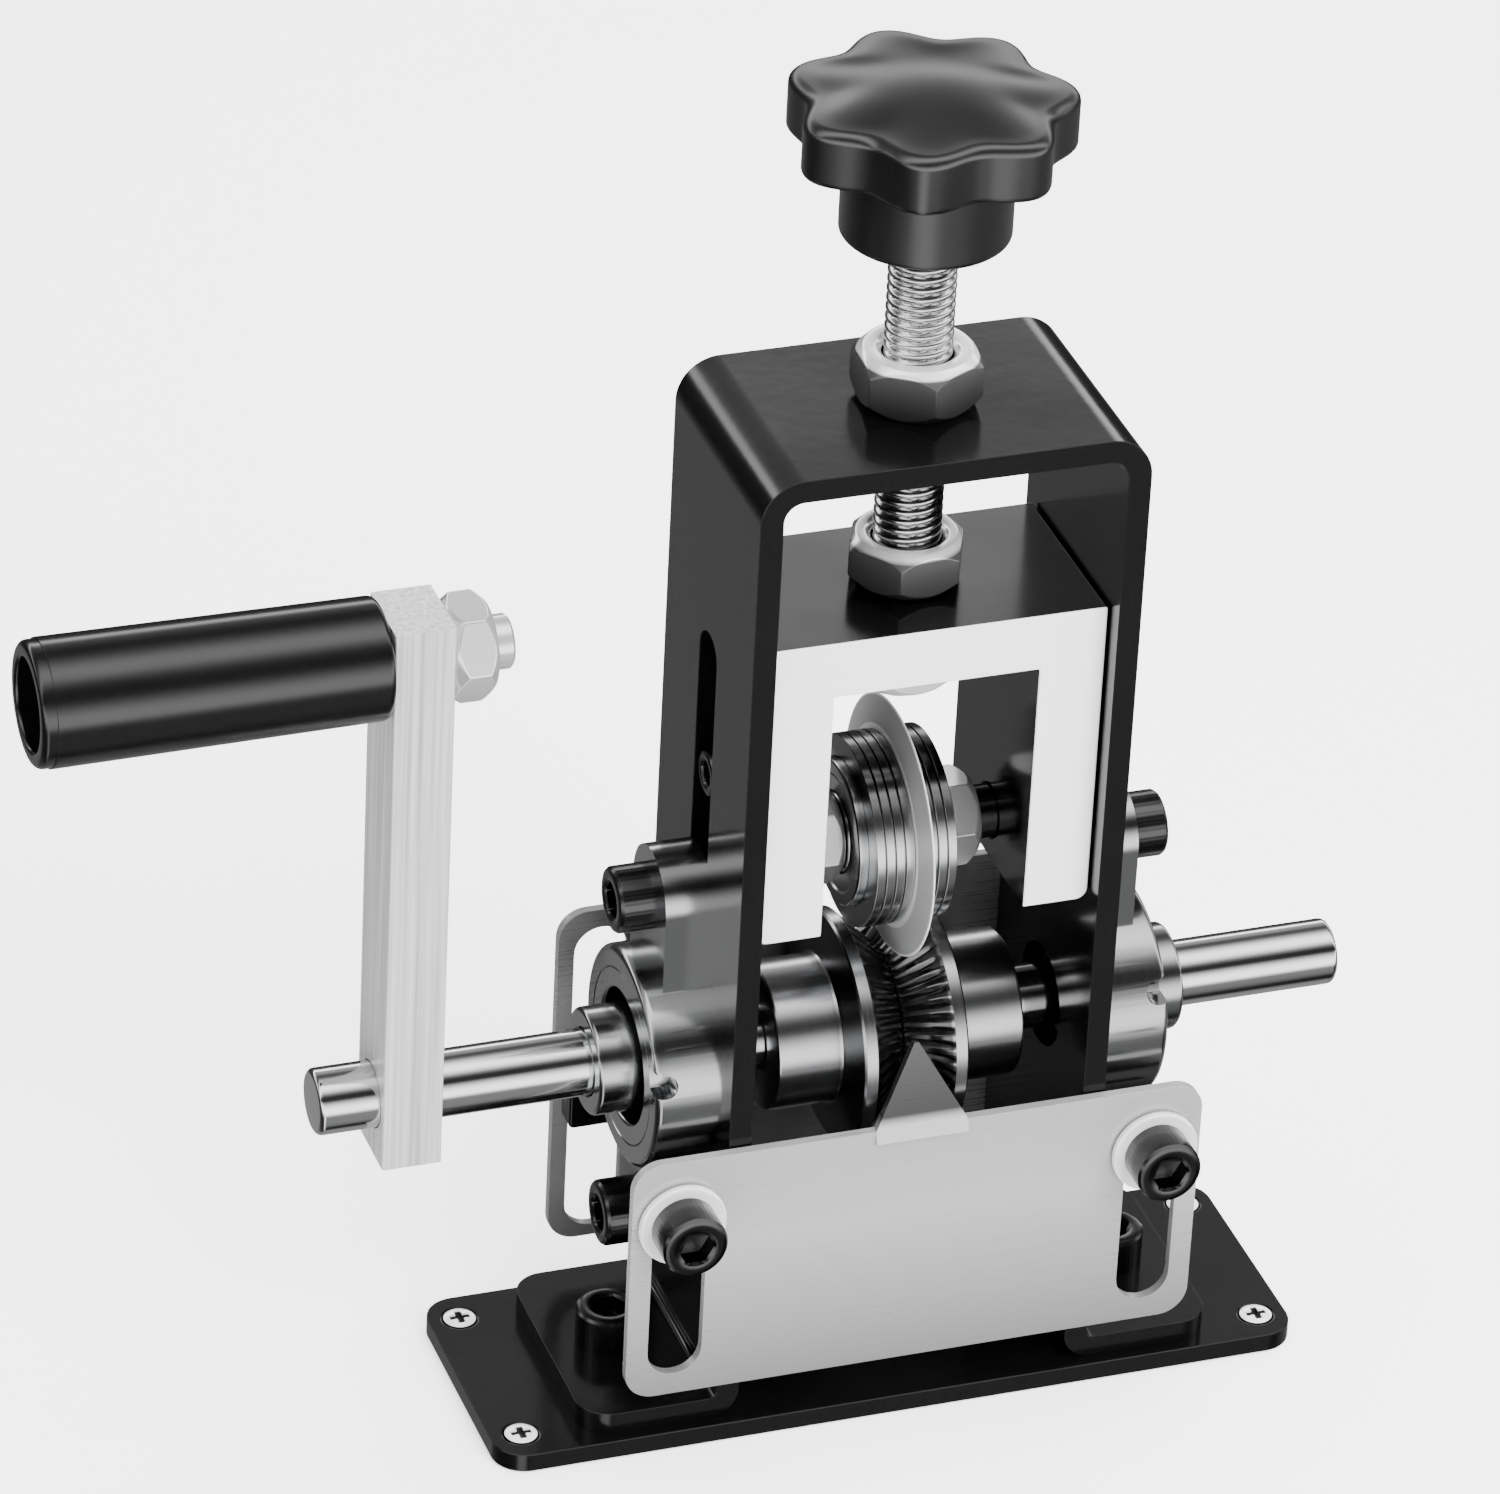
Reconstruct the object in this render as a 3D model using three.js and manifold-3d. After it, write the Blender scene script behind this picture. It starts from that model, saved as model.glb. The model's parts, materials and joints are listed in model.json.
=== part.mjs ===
// Hand crank wire stripper, in millimetres.
// X runs along the drive shaft with the crank at -X, Y points away from the operator, Z is up.
// The origin is the centre of the base plate's underside.

import * as THREE from 'three';
import { mergeVertices } from 'three/addons/utils/BufferGeometryUtils.js';
import Module from 'manifold-3d';

const wasm = await Module();
wasm.setup();

// Clearances and overruns
const fitGap = 0.3; // radial, between a round piece and the hole that it sits or turns in
const seatGap = 0.3; // between flat faces that turn or slide on each other
const cutOverrun = 2; // how far a cutting shape passes the face that it cuts

// Facets and steps, which are counts
const broadSides = 24;
const roundSides = 16;
const smallSides = 10;
const screwSides = 12;
const cornerSteps = 3;
const bearingBallCount = 6;
const ballDetail = 0;

// Base plate and its wood screws
const baseMargin = 13.5; // from the frame's feet to the base plate's ends
const baseDepth = 42;
const baseThickness = 3;
const baseCornerRadius = 5;
const baseScrewInsetX = 4.8;
const baseScrewInsetY = 5.6;
const baseScrewHeadDiameter = 5;
const baseScrewHeadDepth = 1.4;
const baseScrewDome = 0.4;
const baseScrewRimShare = 0.75; // of the dome's height, half way out
const baseScrewShankDiameter = 2.4;
const baseScrewRecessWidth = 0.8;
const baseScrewRecessLength = 2.8;
const baseScrewRecessDepth = 0.9;

// Frame bracket: one flat bar bent to an upright loop with two feet
const frameInnerWidth = 51.8;
const frameSideMargin = 2.25; // from a housing's boss to the frame's front and rear edges
const frameThickness = 3.5;
const frameTopRadius = 6.5;
const frameFootLength = 20.5;
const frameFootCornerRadius = 5;
const frameFootCreaseRadius = 1;
const footBoltInset = 9.7; // from the foot's tip to the bolt's centre
const slotBelowPin = 17.4; // from the guide pin at rest to the slot's lower end
const slotAbovePin = 23.6;
const shaftWindowDiameter = 16;

// Drive shaft
const shaftDiameter = 10;
const shaftHeight = 57;
const shaftLeftReach = 87.4;
const shaftRightReach = 72;
const shaftChamfer = 0.7;

// Flange bearings on the outside of the frame's legs
const housingFlangeThickness = 7.3;
const housingBossReach = 10.6;
const housingBossDiameter = 33.5;
const housingEarRadius = 7.6;
const housingEarSpacing = 27.5; // from the shaft's axis to an ear bolt
const housingWall = 3.2;
const housingFloor = 0.8; // the lip that stops the insert on the leg's side
const housingEdge = 0.8;
const housingNotchWidth = 3.2;
const housingNotchTurn = 24; // degrees above the boss's front
const housingNotchDepth = 2.4;
const insertRingWall = 1.7;
const insertRingWidth = 9.2;
const collarDiameter = 16.2;
const collarReach = 16.4;
const collarEdge = 0.6;
const bearingShieldThickness = 0.8;
const ballSink = 0.3; // how deep the balls sit in the inner ring's track

// Feed rollers
const rollerHubDiameter = 22.4;
const rollerHubReach = 19.2;
const rollerBackReach = 9.2;
const rollerRimDiameter = 35.4;
const rollerRimOuter = 8.1;
const rollerRimInner = 6.1;
const rollerGrooveDiameter = 23.5;
const rollerEdge = 0.5;
const rollerToothCount = 24;
const rollerToothWidth = 1.9;
const rollerToothDepth = 0.9;
const rollerToothOverlap = 0.1; // how far the tooth's cutter stands off the cone
const rollerScrewDiameter = 5;

// Crank arm
const armNearFace = 69.4;
const armThickness = 9;
const armDepth = 13;
const armUpperReach = 81; // from the shaft's axis to the arm's end
const armLowerReach = 9.4;
const armEdge = 0.4;
const armScrewDiameter = 4;

// Grip and its bolt
const gripThrow = 74; // from the shaft's axis to the grip's axis
const gripLength = 51.5;
const gripEndDiameter = 18.8;
const gripRootDiameter = 18;
const gripRimRound = 1.6;
const gripRimWaist = 0.5;
const gripRimWidth = 4.5;
const gripSocketDepth = 24;
const gripBoltDiameter = 8;
const gripBoltHeadDiameter = 13;
const gripBoltHeadHeight = 8;
const gripBoltSocket = 6;
const gripBoltTail = 9.7; // how far the bolt passes the arm's near face
const gripNutAcrossFlats = 14;
const gripNutHeight = 6.5;
const gripNutTurn = 4.3; // degrees

// Blade carriage
const carriageDepth = 31.4;
const carriageChin = 7.4; // from the blade's axis down to the carriage's lower end
const carriageHeight = 49.4;
const carriageLegThickness = 10;
const carriageTopThickness = 9;
const carriageCornerRadius = 1.8;
const carriageHeadroom = 25.9; // above the carriage at rest, up to the frame's ceiling
const guidePinHeadDiameter = 7;
const guidePinHeadHeight = 3.4;
const guidePinShankDiameter = 4;
const guidePinShankLength = 7;
const guidePinRise = 20.6; // from the carriage's lower end to its guide pins

// Blade, its axle, bearings, spacer washers and nuts
const rollerClearance = 1.7; // between the spacer washers at rest and the rollers' rims
const bladeDiameter = 39.2;
const bladeThickness = 2;
const bladeBevelDiameter = 30.4;
const bladeEdgeThickness = 0.2;
const axleDiameter = 8;
const axleNutAcrossFlats = 13;
const axleNutHeight = 6.5;
const leftNutTurn = 7.4; // degrees
const rightNutTurn = 52.7; // degrees
const bladeBearingDiameter = 22;
const bladeBearingWidth = 7;
const bladeBearingRingWall = 2;
const bladeBearingProud = 1.5; // how far the left bearing stands out of the washers
const spacerWall = 3.1; // from a washer's bore to its rim
const spacerThickness = 1.5;
const spacerGrooveWidth = 0.5; // half the opening of the cut that shows between two washers
const spacerGrooveDepth = 0.8;
const leftSpacerCount = 4;
const rightSpacerCount = 3;

// Lead screw, its nuts and the star knob
const screwDiameter = 10;
const screwTail = 8.8; // how far the screw passes the carriage's ceiling
const screwChamfer = 0.8;
const screwNutAcrossFlats = 17;
const leadNutHeight = 8.5;
const leadNutTurn = 27; // degrees
const collarNutAcrossFlats = 16;
const collarNutHeight = 7.5;
const collarNutTurn = 6.7; // degrees
const retainingNutHeight = 6.4;
const nutFaceShare = 0.96; // the round face's diameter as a share of the width across flats
const knobLift = 18.3; // from the lead nut's top to the knob at rest
const knobHubDiameter = 24.7;
const knobHubHeight = 13.1;
const knobSkirtHeight = 8.9;
const knobLobeDiameter = 42;
const knobValleyDiameter = 35.6;
const knobLobeCount = 7;
const knobLobeTurn = 41; // degrees
const knobPointsPerLobe = 6;
const knobEdge = 1;
const knobDomeDiameter = 31;
const knobDomeHeight = 2.6;
const knobSocketDepth = 18;

// Guide plates in front of and behind the frame
const plateThickness = 1.5;
const plateCornerRadius = 4.5;
const plateSlotSpacing = 74;
const plateSlotWidth = 8.4;
const plateScrewDrop = 16.2; // from the shaft's axis down to the plate screws
const frontPlateWidth = 89;
const frontPlateBottom = 10;
const frontPlateTop = 51.2;
const frontSlotBottom = 13.6;
const frontSlotTop = 46;
const tongueWidth = 14.4;
const tongueLength = 12.6;
const tongueAngle = 20; // degrees, leaning back towards the rollers
const tongueTip = 0.5;
const rearPlateWidth = 87.6;
const rearPlateBottom = 11.8;
const rearPlateTop = 70.2;
const rearSlotBottom = 13.8;
const rearSlotTop = 67.1;
const rearNotchWidth = 14;
const rearNotchDepth = 12;
const rearHoleDiameter = 9;
const rearHoleHeight = 49;

// Lugs, screws and washers that hold the guide plates
const lugReach = 13.1;
const lugDepth = 4.2;
const lugHeight = 12;
const lugEdge = 0.8;
const washerDiameter = 13.4;
const washerThickness = 1.2;

// Socket head cap screws: the same size holds the feet, the bearings and the plates
const capScrewDiameter = 6;
const capScrewHeadDiameter = 10;
const capScrewHeadHeight = 6;
const capScrewHeadEdge = 0.6;
const socketAcrossFlats = 5;
const socketDepth = 3;
const grubSocketShare = 0.5; // a grub screw's socket, as a share of its diameter

// Places that follow from the sizes above
const spacerDiameter = bladeBearingDiameter + 2 * fitGap + 2 * spacerWall;
const plateScrewHeight = shaftHeight - plateScrewDrop;
const bladeHeight = shaftHeight + rollerRimDiameter / 2 + rollerClearance + spacerDiameter / 2;
const carriageBottom = bladeHeight - carriageChin;
const carriageTop = carriageBottom + carriageHeight;
const carriageCeiling = carriageTop - carriageTopThickness;
const guidePinHeight = carriageBottom + guidePinRise;
const guideSlotBottom = guidePinHeight - slotBelowPin;
const guideSlotTop = guidePinHeight + slotAbovePin;
const frameCeiling = carriageTop + carriageHeadroom;
const frameTop = frameCeiling + frameThickness;
const screwBottom = carriageCeiling - screwTail;
const knobBottom = frameTop + leadNutHeight + knobLift;
const baseTop = baseThickness;
const footTop = baseTop + frameThickness;
const legInner = frameInnerWidth / 2;
const legOuter = legInner + frameThickness;
const footReach = legOuter + frameFootLength;
const baseLength = 2 * (footReach + baseMargin);
const footBoltX = footReach - footBoltInset;
const carriageWidth = frameInnerWidth - 2 * seatGap;
const carriageInner = carriageWidth / 2 - carriageLegThickness;
const armFarFace = armNearFace + armThickness;
const gripNear = armFarFace + seatGap;
const gripFar = gripNear + gripLength;
const gripSocketFloor = gripFar - gripSocketDepth;
const frameDepth = housingBossDiameter + 2 * frameSideMargin;
const plateBack = frameDepth / 2 + seatGap;
const plateFront = plateBack + plateThickness;
const washerBack = plateFront + seatGap;
const washerFront = washerBack + washerThickness;
const insertOuterRadius = housingBossDiameter / 2 - housingWall - fitGap;
const guideSlotWidth = guidePinHeadDiameter + 2 * fitGap;
const knobSkirtBottom = knobBottom + knobHubHeight;
const knobSkirtTop = knobSkirtBottom + knobSkirtHeight;

// Finishes
const looks = {
  glossBlack: { color: 0x1b1b1c, roughness: 0.25, metalness: 0.2 },
  blackPlastic: { color: 0x161616, roughness: 0.4, metalness: 0 },
  blackOxide: { color: 0x202022, roughness: 0.4, metalness: 0.7 },
  chrome: { color: 0xd0d2d4, roughness: 0.12, metalness: 1 },
  darkSteel: { color: 0x54565a, roughness: 0.25, metalness: 1 },
  brightSteel: { color: 0xb4b6b8, roughness: 0.25, metalness: 1 },
  aluminium: { color: 0xd6d7d8, roughness: 0.4, metalness: 0.9 },
  stainless: { color: 0xbcbdbe, roughness: 0.35, metalness: 1 },
  zinc: { color: 0xdcdcda, roughness: 0.3, metalness: 0.9 },
};

// Local x, y and z of a drawn outline, turned to the axis that it is pushed along
const east = new THREE.Vector3(1, 0, 0);
const north = new THREE.Vector3(0, 1, 0);
const up = new THREE.Vector3(0, 0, 1);
const drawnAlong = {
  x: new THREE.Matrix4().makeBasis(north, up, east),
  y: new THREE.Matrix4().makeBasis(east, up, north.clone().negate()),
  z: new THREE.Matrix4(),
};
const latheAlong = {
  x: new THREE.Matrix4().makeBasis(up, east, north),
  y: new THREE.Matrix4(),
  z: new THREE.Matrix4().makeBasis(east, up, north.clone().negate()),
};

// Six times the volume that a triangle adds, negative where it faces inwards
function signedVolume(positions, corners) {
  const a = new THREE.Vector3();
  const b = new THREE.Vector3();
  const c = new THREE.Vector3();
  let total = 0;
  for (let i = 0; i < corners.length; i += 3) {
    a.fromArray(positions, 3 * corners[i]);
    b.fromArray(positions, 3 * corners[i + 1]);
    c.fromArray(positions, 3 * corners[i + 2]);
    total += a.dot(b.cross(c));
  }
  return total;
}

// A closed geometry as a solid, with doubled points joined and faces turned outwards
function asSolid(geometry) {
  const bare = geometry.clone();
  bare.deleteAttribute('normal');
  bare.deleteAttribute('uv');
  const merged = mergeVertices(bare);
  const positions = merged.attributes.position.array;
  const corners = [];
  for (let i = 0; i < merged.index.count; i += 3) {
    const [a, b, c] = [0, 1, 2].map((step) => merged.index.getX(i + step));
    if (a !== b && b !== c && c !== a) {
      corners.push(a, b, c);
    }
  }
  if (signedVolume(positions, corners) < 0) {
    corners.reverse();
  }
  return new wasm.Manifold(new wasm.Mesh({
    numProp: 3,
    vertProperties: new Float32Array(positions),
    triVerts: new Uint32Array(corners),
  }));
}

// A solid as a geometry with flat faces
function asGeometry(solid) {
  const mesh = solid.getMesh();
  const geometry = new THREE.BufferGeometry();
  geometry.setAttribute('position', new THREE.BufferAttribute(new Float32Array(mesh.vertProperties), 3));
  geometry.setIndex(new THREE.BufferAttribute(new Uint32Array(mesh.triVerts), 1));
  const faceted = geometry.toNonIndexed();
  faceted.computeVertexNormals();
  return faceted;
}

// A centre's two places in the plane across an axis, in the order that an outline on it is drawn
function placeAcross(axis, [x, y, z]) {
  return { x: [y, z], y: [x, z], z: [x, y] }[axis];
}

// An outline, drawn in the plane across an axis, pushed along it from one place to another
function pushed(outline, axis, from, to, steps = cornerSteps) {
  const low = Math.min(from, to);
  const high = Math.max(from, to);
  const geometry = new THREE.ExtrudeGeometry(outline, {
    depth: high - low,
    bevelEnabled: false,
    curveSegments: steps,
  });
  geometry.applyMatrix4(drawnAlong[axis]);
  const start = axis === 'y' ? high : low;
  const shift = { x: 0, y: 0, z: 0 };
  shift[axis] = start;
  geometry.translate(shift.x, shift.y, shift.z);
  return asSolid(geometry);
}

// A profile of [radius, place along the axis] points turned about an axis through centre
function turned(profile, axis, centre = [0, 0, 0], sides = roundSides) {
  const points = profile.map(([radius, along]) => new THREE.Vector2(radius, along));
  const geometry = new THREE.LatheGeometry(points, sides);
  geometry.applyMatrix4(latheAlong[axis]);
  geometry.translate(...centre);
  return asSolid(geometry);
}

// A plain bar between two places on its axis
function bar(diameter, axis, from, to, centre = [0, 0, 0], sides = roundSides) {
  const radius = diameter / 2;
  return turned([[0, from], [radius, from], [radius, to], [0, to]], axis, centre, sides);
}

// A closed ring between two radii and two places on its axis
function ring(inner, outer, axis, from, to, centre = [0, 0, 0], sides = roundSides) {
  const profile = [[inner, from], [outer, from], [outer, to], [inner, to], [inner, from]];
  return turned(profile, axis, centre, sides);
}

// A rectangle with round corners, centred at (x, y)
function roundedRectangle(width, height, radius, x = 0, y = 0) {
  const right = x + width / 2;
  const left = x - width / 2;
  const top = y + height / 2;
  const bottom = y - height / 2;
  const outline = new THREE.Shape();
  outline.moveTo(left + radius, bottom);
  outline.absarc(right - radius, bottom + radius, radius, -Math.PI / 2, 0);
  outline.absarc(right - radius, top - radius, radius, 0, Math.PI / 2);
  outline.absarc(left + radius, top - radius, radius, Math.PI / 2, Math.PI);
  outline.absarc(left + radius, bottom + radius, radius, Math.PI, Math.PI * 1.5);
  return outline;
}

// A slot with round ends, upright in its own plane, between two ends
function uprightSlot(width, bottom, top, x = 0) {
  const radius = width / 2;
  const outline = new THREE.Shape();
  outline.absarc(x, bottom + radius, radius, Math.PI, 2 * Math.PI);
  outline.absarc(x, top - radius, radius, 0, Math.PI);
  return outline;
}

// A regular hexagon with one corner at the given angle
function hexagon(acrossFlats, turn = 0, x = 0, y = 0) {
  const radius = acrossFlats / 2 / Math.cos(Math.PI / 6);
  const outline = new THREE.Shape();
  for (let corner = 0; corner < 6; corner += 1) {
    const angle = THREE.MathUtils.degToRad(turn) + corner * Math.PI / 3;
    const point = [x + radius * Math.cos(angle), y + radius * Math.sin(angle)];
    if (corner === 0) {
      outline.moveTo(...point);
    } else {
      outline.lineTo(...point);
    }
  }
  outline.closePath();
  return outline;
}

// A hexagon nut with both faces chamfered, from its low face to its high face
function hexNut(acrossFlats, bore, axis, from, to, turn, centre = [0, 0, 0]) {
  const cornerRadius = acrossFlats / 2 / Math.cos(Math.PI / 6);
  const faceRadius = acrossFlats / 2 * nutFaceShare;
  const reach = cornerRadius + cutOverrun;
  const slope = (reach - faceRadius) * Math.tan(Math.PI / 6);
  const [across, along] = placeAcross(axis, centre);
  const prism = pushed(hexagon(acrossFlats, turn, across, along), axis, from, to);
  const chamfered = turned([
    [0, from],
    [faceRadius, from],
    [reach, from + slope],
    [reach, to - slope],
    [faceRadius, to],
    [0, to],
  ], axis, centre);
  const hole = bar(bore, axis, from - cutOverrun, to + cutOverrun, centre);
  return prism.intersect(chamfered).subtract(hole);
}

// A socket head screw along an axis: seat is the head's inner face, heading is +1 or -1 towards the head
function socketScrew(sizes, axis, seat, heading, centre) {
  const headRadius = sizes.headDiameter / 2;
  const shankRadius = sizes.diameter / 2;
  const top = seat + heading * sizes.headHeight;
  const tail = seat - heading * sizes.length;
  const body = turned([
    [0, tail],
    [shankRadius, tail],
    [shankRadius, seat],
    [headRadius, seat],
    [headRadius, top - heading * sizes.edge],
    [headRadius - sizes.edge, top],
    [0, top],
  ], axis, centre, screwSides);
  const [across, along] = placeAcross(axis, centre);
  const outline = hexagon(sizes.socket, 0, across, along);
  const socket = pushed(outline, axis, top - heading * sizes.socketDepth, top + heading * cutOverrun);
  return body.subtract(socket);
}

// A grub screw along an axis with its socket at the head end
function grubScrew(diameter, axis, inner, outer, centre) {
  const heading = Math.sign(outer - inner);
  const [across, along] = placeAcross(axis, centre);
  const socketWidth = diameter * grubSocketShare;
  const outline = hexagon(socketWidth, 0, across, along);
  const socket = pushed(outline, axis, outer - heading * socketWidth, outer + heading * cutOverrun);
  return bar(diameter, axis, inner, outer, centre, smallSides).subtract(socket);
}

// The cap screw that the machine uses throughout, with its own length
function capScrew(length, axis, seat, heading, centre) {
  const sizes = {
    diameter: capScrewDiameter,
    headDiameter: capScrewHeadDiameter,
    headHeight: capScrewHeadHeight,
    edge: capScrewHeadEdge,
    socket: socketAcrossFlats,
    socketDepth,
    length,
  };
  return socketScrew(sizes, axis, seat, heading, centre);
}

// An inner ring on an X axis with its balls seated in its track, which leaves a gap to the outer ring
function withBalls(innerRing, innerRadius, ballSpace, x) {
  const ballRadius = (ballSpace - fitGap + ballSink) / 2;
  const pitchRadius = innerRadius - ballSink + ballRadius;
  let race = innerRing;
  for (let ball = 0; ball < bearingBallCount; ball += 1) {
    const angle = ball / bearingBallCount * 2 * Math.PI;
    const geometry = new THREE.IcosahedronGeometry(ballRadius, ballDetail);
    geometry.translate(x, pitchRadius * Math.cos(angle), pitchRadius * Math.sin(angle));
    race = race.add(asSolid(geometry));
  }
  return race;
}

// A bearing's outer ring whose shield closes the ball space at its outer end
function shieldedRing(outerRadius, wall, innerRingRadius, x, outerEnd) {
  const heading = Math.sign(outerEnd - x);
  const shieldInner = innerRingRadius + fitGap;
  const shieldBack = outerEnd - heading * bearingShieldThickness;
  return turned([
    [outerRadius - wall, x],
    [outerRadius, x],
    [outerRadius, outerEnd],
    [shieldInner, outerEnd],
    [shieldInner, shieldBack],
    [outerRadius - wall, shieldBack],
    [outerRadius - wall, x],
  ], 'x');
}

// One named piece in its group
function addPiece(group, name, solid, look) {
  const mesh = new THREE.Mesh(asGeometry(solid), new THREE.MeshStandardMaterial(looks[look]));
  mesh.name = name;
  group.add(mesh);
}

// The two sides of the machine, with the crank on the left
const sides = [
  { name: 'left', heading: -1 },
  { name: 'right', heading: 1 },
];

// A profile for a countersunk wood screw from the given depth, grown by a clearance to cut its hole
function woodScrewProfile(clearance, bottom) {
  const shankRadius = baseScrewShankDiameter / 2 + clearance;
  const headRadius = baseScrewHeadDiameter / 2 + clearance;
  return [
    [0, bottom],
    [shankRadius, bottom],
    [shankRadius, baseTop - baseScrewHeadDepth],
    [headRadius, baseTop],
  ];
}

// Where the four base screws stand
function baseScrewPlaces() {
  const x = baseLength / 2 - baseScrewInsetX;
  const y = baseDepth / 2 - baseScrewInsetY;
  return [
    { name: 'front_left', at: [-x, -y] },
    { name: 'front_right', at: [x, -y] },
    { name: 'rear_left', at: [-x, y] },
    { name: 'rear_right', at: [x, y] },
  ];
}

// Base plate with countersunk holes for the bench and threaded holes for the feet
function makeBasePlate() {
  const outline = roundedRectangle(baseLength, baseDepth, baseCornerRadius);
  let plate = pushed(outline, 'z', 0, baseTop);
  for (const { at: [x, y] } of baseScrewPlaces()) {
    const flare = baseTop + cutOverrun;
    const headRadius = baseScrewHeadDiameter / 2 + fitGap;
    const profile = [...woodScrewProfile(fitGap, -cutOverrun), [headRadius, flare], [0, flare]];
    plate = plate.subtract(turned(profile, 'z', [x, y, 0], smallSides));
  }
  for (const { heading } of sides) {
    const hole = bar(capScrewDiameter + 2 * fitGap, 'z', -cutOverrun, baseTop + cutOverrun,
      [heading * footBoltX, 0, 0]);
    plate = plate.subtract(hole);
  }
  return plate;
}

// Crosshead screw that holds the base to the bench, cut short at its underside
function makeBaseScrew([x, y]) {
  const profile = woodScrewProfile(0, seatGap);
  profile.push([baseScrewHeadDiameter / 4, baseTop + baseScrewDome * baseScrewRimShare]);
  profile.push([0, baseTop + baseScrewDome]);
  let screw = turned(profile, 'z', [x, y, 0], smallSides);
  const recessFloor = baseTop + baseScrewDome - baseScrewRecessDepth;
  for (const [width, height] of [
    [baseScrewRecessLength, baseScrewRecessWidth],
    [baseScrewRecessWidth, baseScrewRecessLength],
  ]) {
    const outline = roundedRectangle(width, height, baseScrewRecessWidth / 4, x, y);
    screw = screw.subtract(pushed(outline, 'z', recessFloor, baseTop + cutOverrun, 1));
  }
  return screw;
}

// The bent bar's outline seen from the front: feet, legs and top
function bracketOutline() {
  const crease = frameFootCreaseRadius;
  const bend = frameThickness + frameFootCreaseRadius;
  const topRadius = frameTopRadius;
  const innerTopRadius = Math.max(frameTopRadius - frameThickness, crease);
  const quarter = Math.PI / 2;
  const outline = new THREE.Shape();
  outline.moveTo(footReach, baseTop);
  outline.lineTo(footReach, footTop);
  outline.absarc(legOuter + crease, footTop + crease, crease, 3 * quarter, 2 * quarter, true);
  outline.absarc(legOuter - topRadius, frameTop - topRadius, topRadius, 0, quarter);
  outline.absarc(topRadius - legOuter, frameTop - topRadius, topRadius, quarter, 2 * quarter);
  outline.absarc(-legOuter - crease, footTop + crease, crease, 0, -quarter, true);
  outline.lineTo(-footReach, footTop);
  outline.lineTo(-footReach, baseTop);
  outline.absarc(-legInner - bend, baseTop + bend, bend, -quarter, 0);
  const innerX = legInner - innerTopRadius;
  const innerZ = frameCeiling - innerTopRadius;
  outline.absarc(-innerX, innerZ, innerTopRadius, 2 * quarter, quarter, true);
  outline.absarc(innerX, innerZ, innerTopRadius, quarter, 0, true);
  outline.absarc(legInner + bend, baseTop + bend, bend, 2 * quarter, 3 * quarter);
  outline.closePath();
  return outline;
}

// Frame bracket with its guide slots, shaft windows and screw holes
function makeFrameBracket() {
  const plan = roundedRectangle(2 * footReach, frameDepth, frameFootCornerRadius);
  const reach = legOuter + cutOverrun;
  const screwHole = capScrewDiameter + 2 * fitGap;
  let bracket = pushed(bracketOutline(), 'y', -frameDepth / 2, frameDepth / 2);
  bracket = bracket.intersect(pushed(plan, 'z', 0, frameTop + cutOverrun));
  const slot = uprightSlot(guideSlotWidth, guideSlotBottom, guideSlotTop);
  bracket = bracket.subtract(pushed(slot, 'x', -reach, reach, 2 * cornerSteps));
  bracket = bracket.subtract(bar(shaftWindowDiameter, 'x', -reach, reach, [0, 0, shaftHeight]));
  for (const ear of [-1, 1]) {
    const centre = [0, 0, shaftHeight + ear * housingEarSpacing];
    bracket = bracket.subtract(bar(screwHole, 'x', -reach, reach, centre));
  }
  for (const { heading } of sides) {
    const centre = [heading * footBoltX, 0, 0];
    bracket = bracket.subtract(bar(screwHole, 'z', 0, footTop + cutOverrun, centre));
  }
  const rodHole = screwDiameter + 2 * fitGap;
  return bracket.subtract(bar(rodHole, 'z', frameCeiling - cutOverrun, frameTop + cutOverrun));
}

// Two straight ears on a round boss, in the Y and Z plane
function housingOutline() {
  const bossRadius = housingBossDiameter / 2;
  const meet = Math.acos(housingEarRadius / bossRadius);
  const outline = new THREE.Shape();
  outline.absarc(0, 0, bossRadius, -meet, meet);
  outline.absarc(0, housingEarSpacing, housingEarRadius, 0, Math.PI);
  outline.absarc(0, 0, bossRadius, Math.PI - meet, Math.PI + meet);
  outline.absarc(0, -housingEarSpacing, housingEarRadius, Math.PI, 2 * Math.PI);
  return outline;
}

// Cast housing of a flange bearing, about the shaft's axis
function makeBearingHousing(heading) {
  const back = heading * legOuter;
  const flangeFace = heading * (legOuter + housingFlangeThickness);
  const face = heading * (legOuter + housingBossReach);
  const bossRadius = housingBossDiameter / 2;
  const boreDepth = heading * (legOuter + housingFloor);
  const boss = turned([
    [0, back],
    [bossRadius, back],
    [bossRadius, face - heading * housingEdge],
    [bossRadius - housingEdge, face],
    [0, face],
  ], 'x', [0, 0, 0], broadSides);
  let housing = pushed(housingOutline(), 'x', back, flangeFace, 2 * cornerSteps).add(boss);
  const seatDiameter = 2 * (insertOuterRadius + fitGap);
  housing = housing.subtract(bar(seatDiameter, 'x', boreDepth, face + heading * cutOverrun));
  const throat = collarDiameter + 2 * fitGap;
  housing = housing.subtract(bar(throat, 'x', back - heading * cutOverrun, face));
  for (const ear of [-1, 1]) {
    const hole = bar(capScrewDiameter + 2 * fitGap, 'x', back - heading * cutOverrun, face,
      [0, 0, ear * housingEarSpacing]);
    housing = housing.subtract(hole);
  }
  const notch = roundedRectangle(housingNotchWidth, 2 * housingWall, housingNotchWidth / 4, 0, 0);
  const notchTool = pushed(notch, 'x', face - heading * housingNotchDepth, face + heading * cutOverrun);
  const turn = THREE.MathUtils.degToRad(housingNotchTurn);
  return housing.subtract(notchTool.translate(0, -bossRadius * Math.cos(turn), bossRadius * Math.sin(turn)));
}

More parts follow.
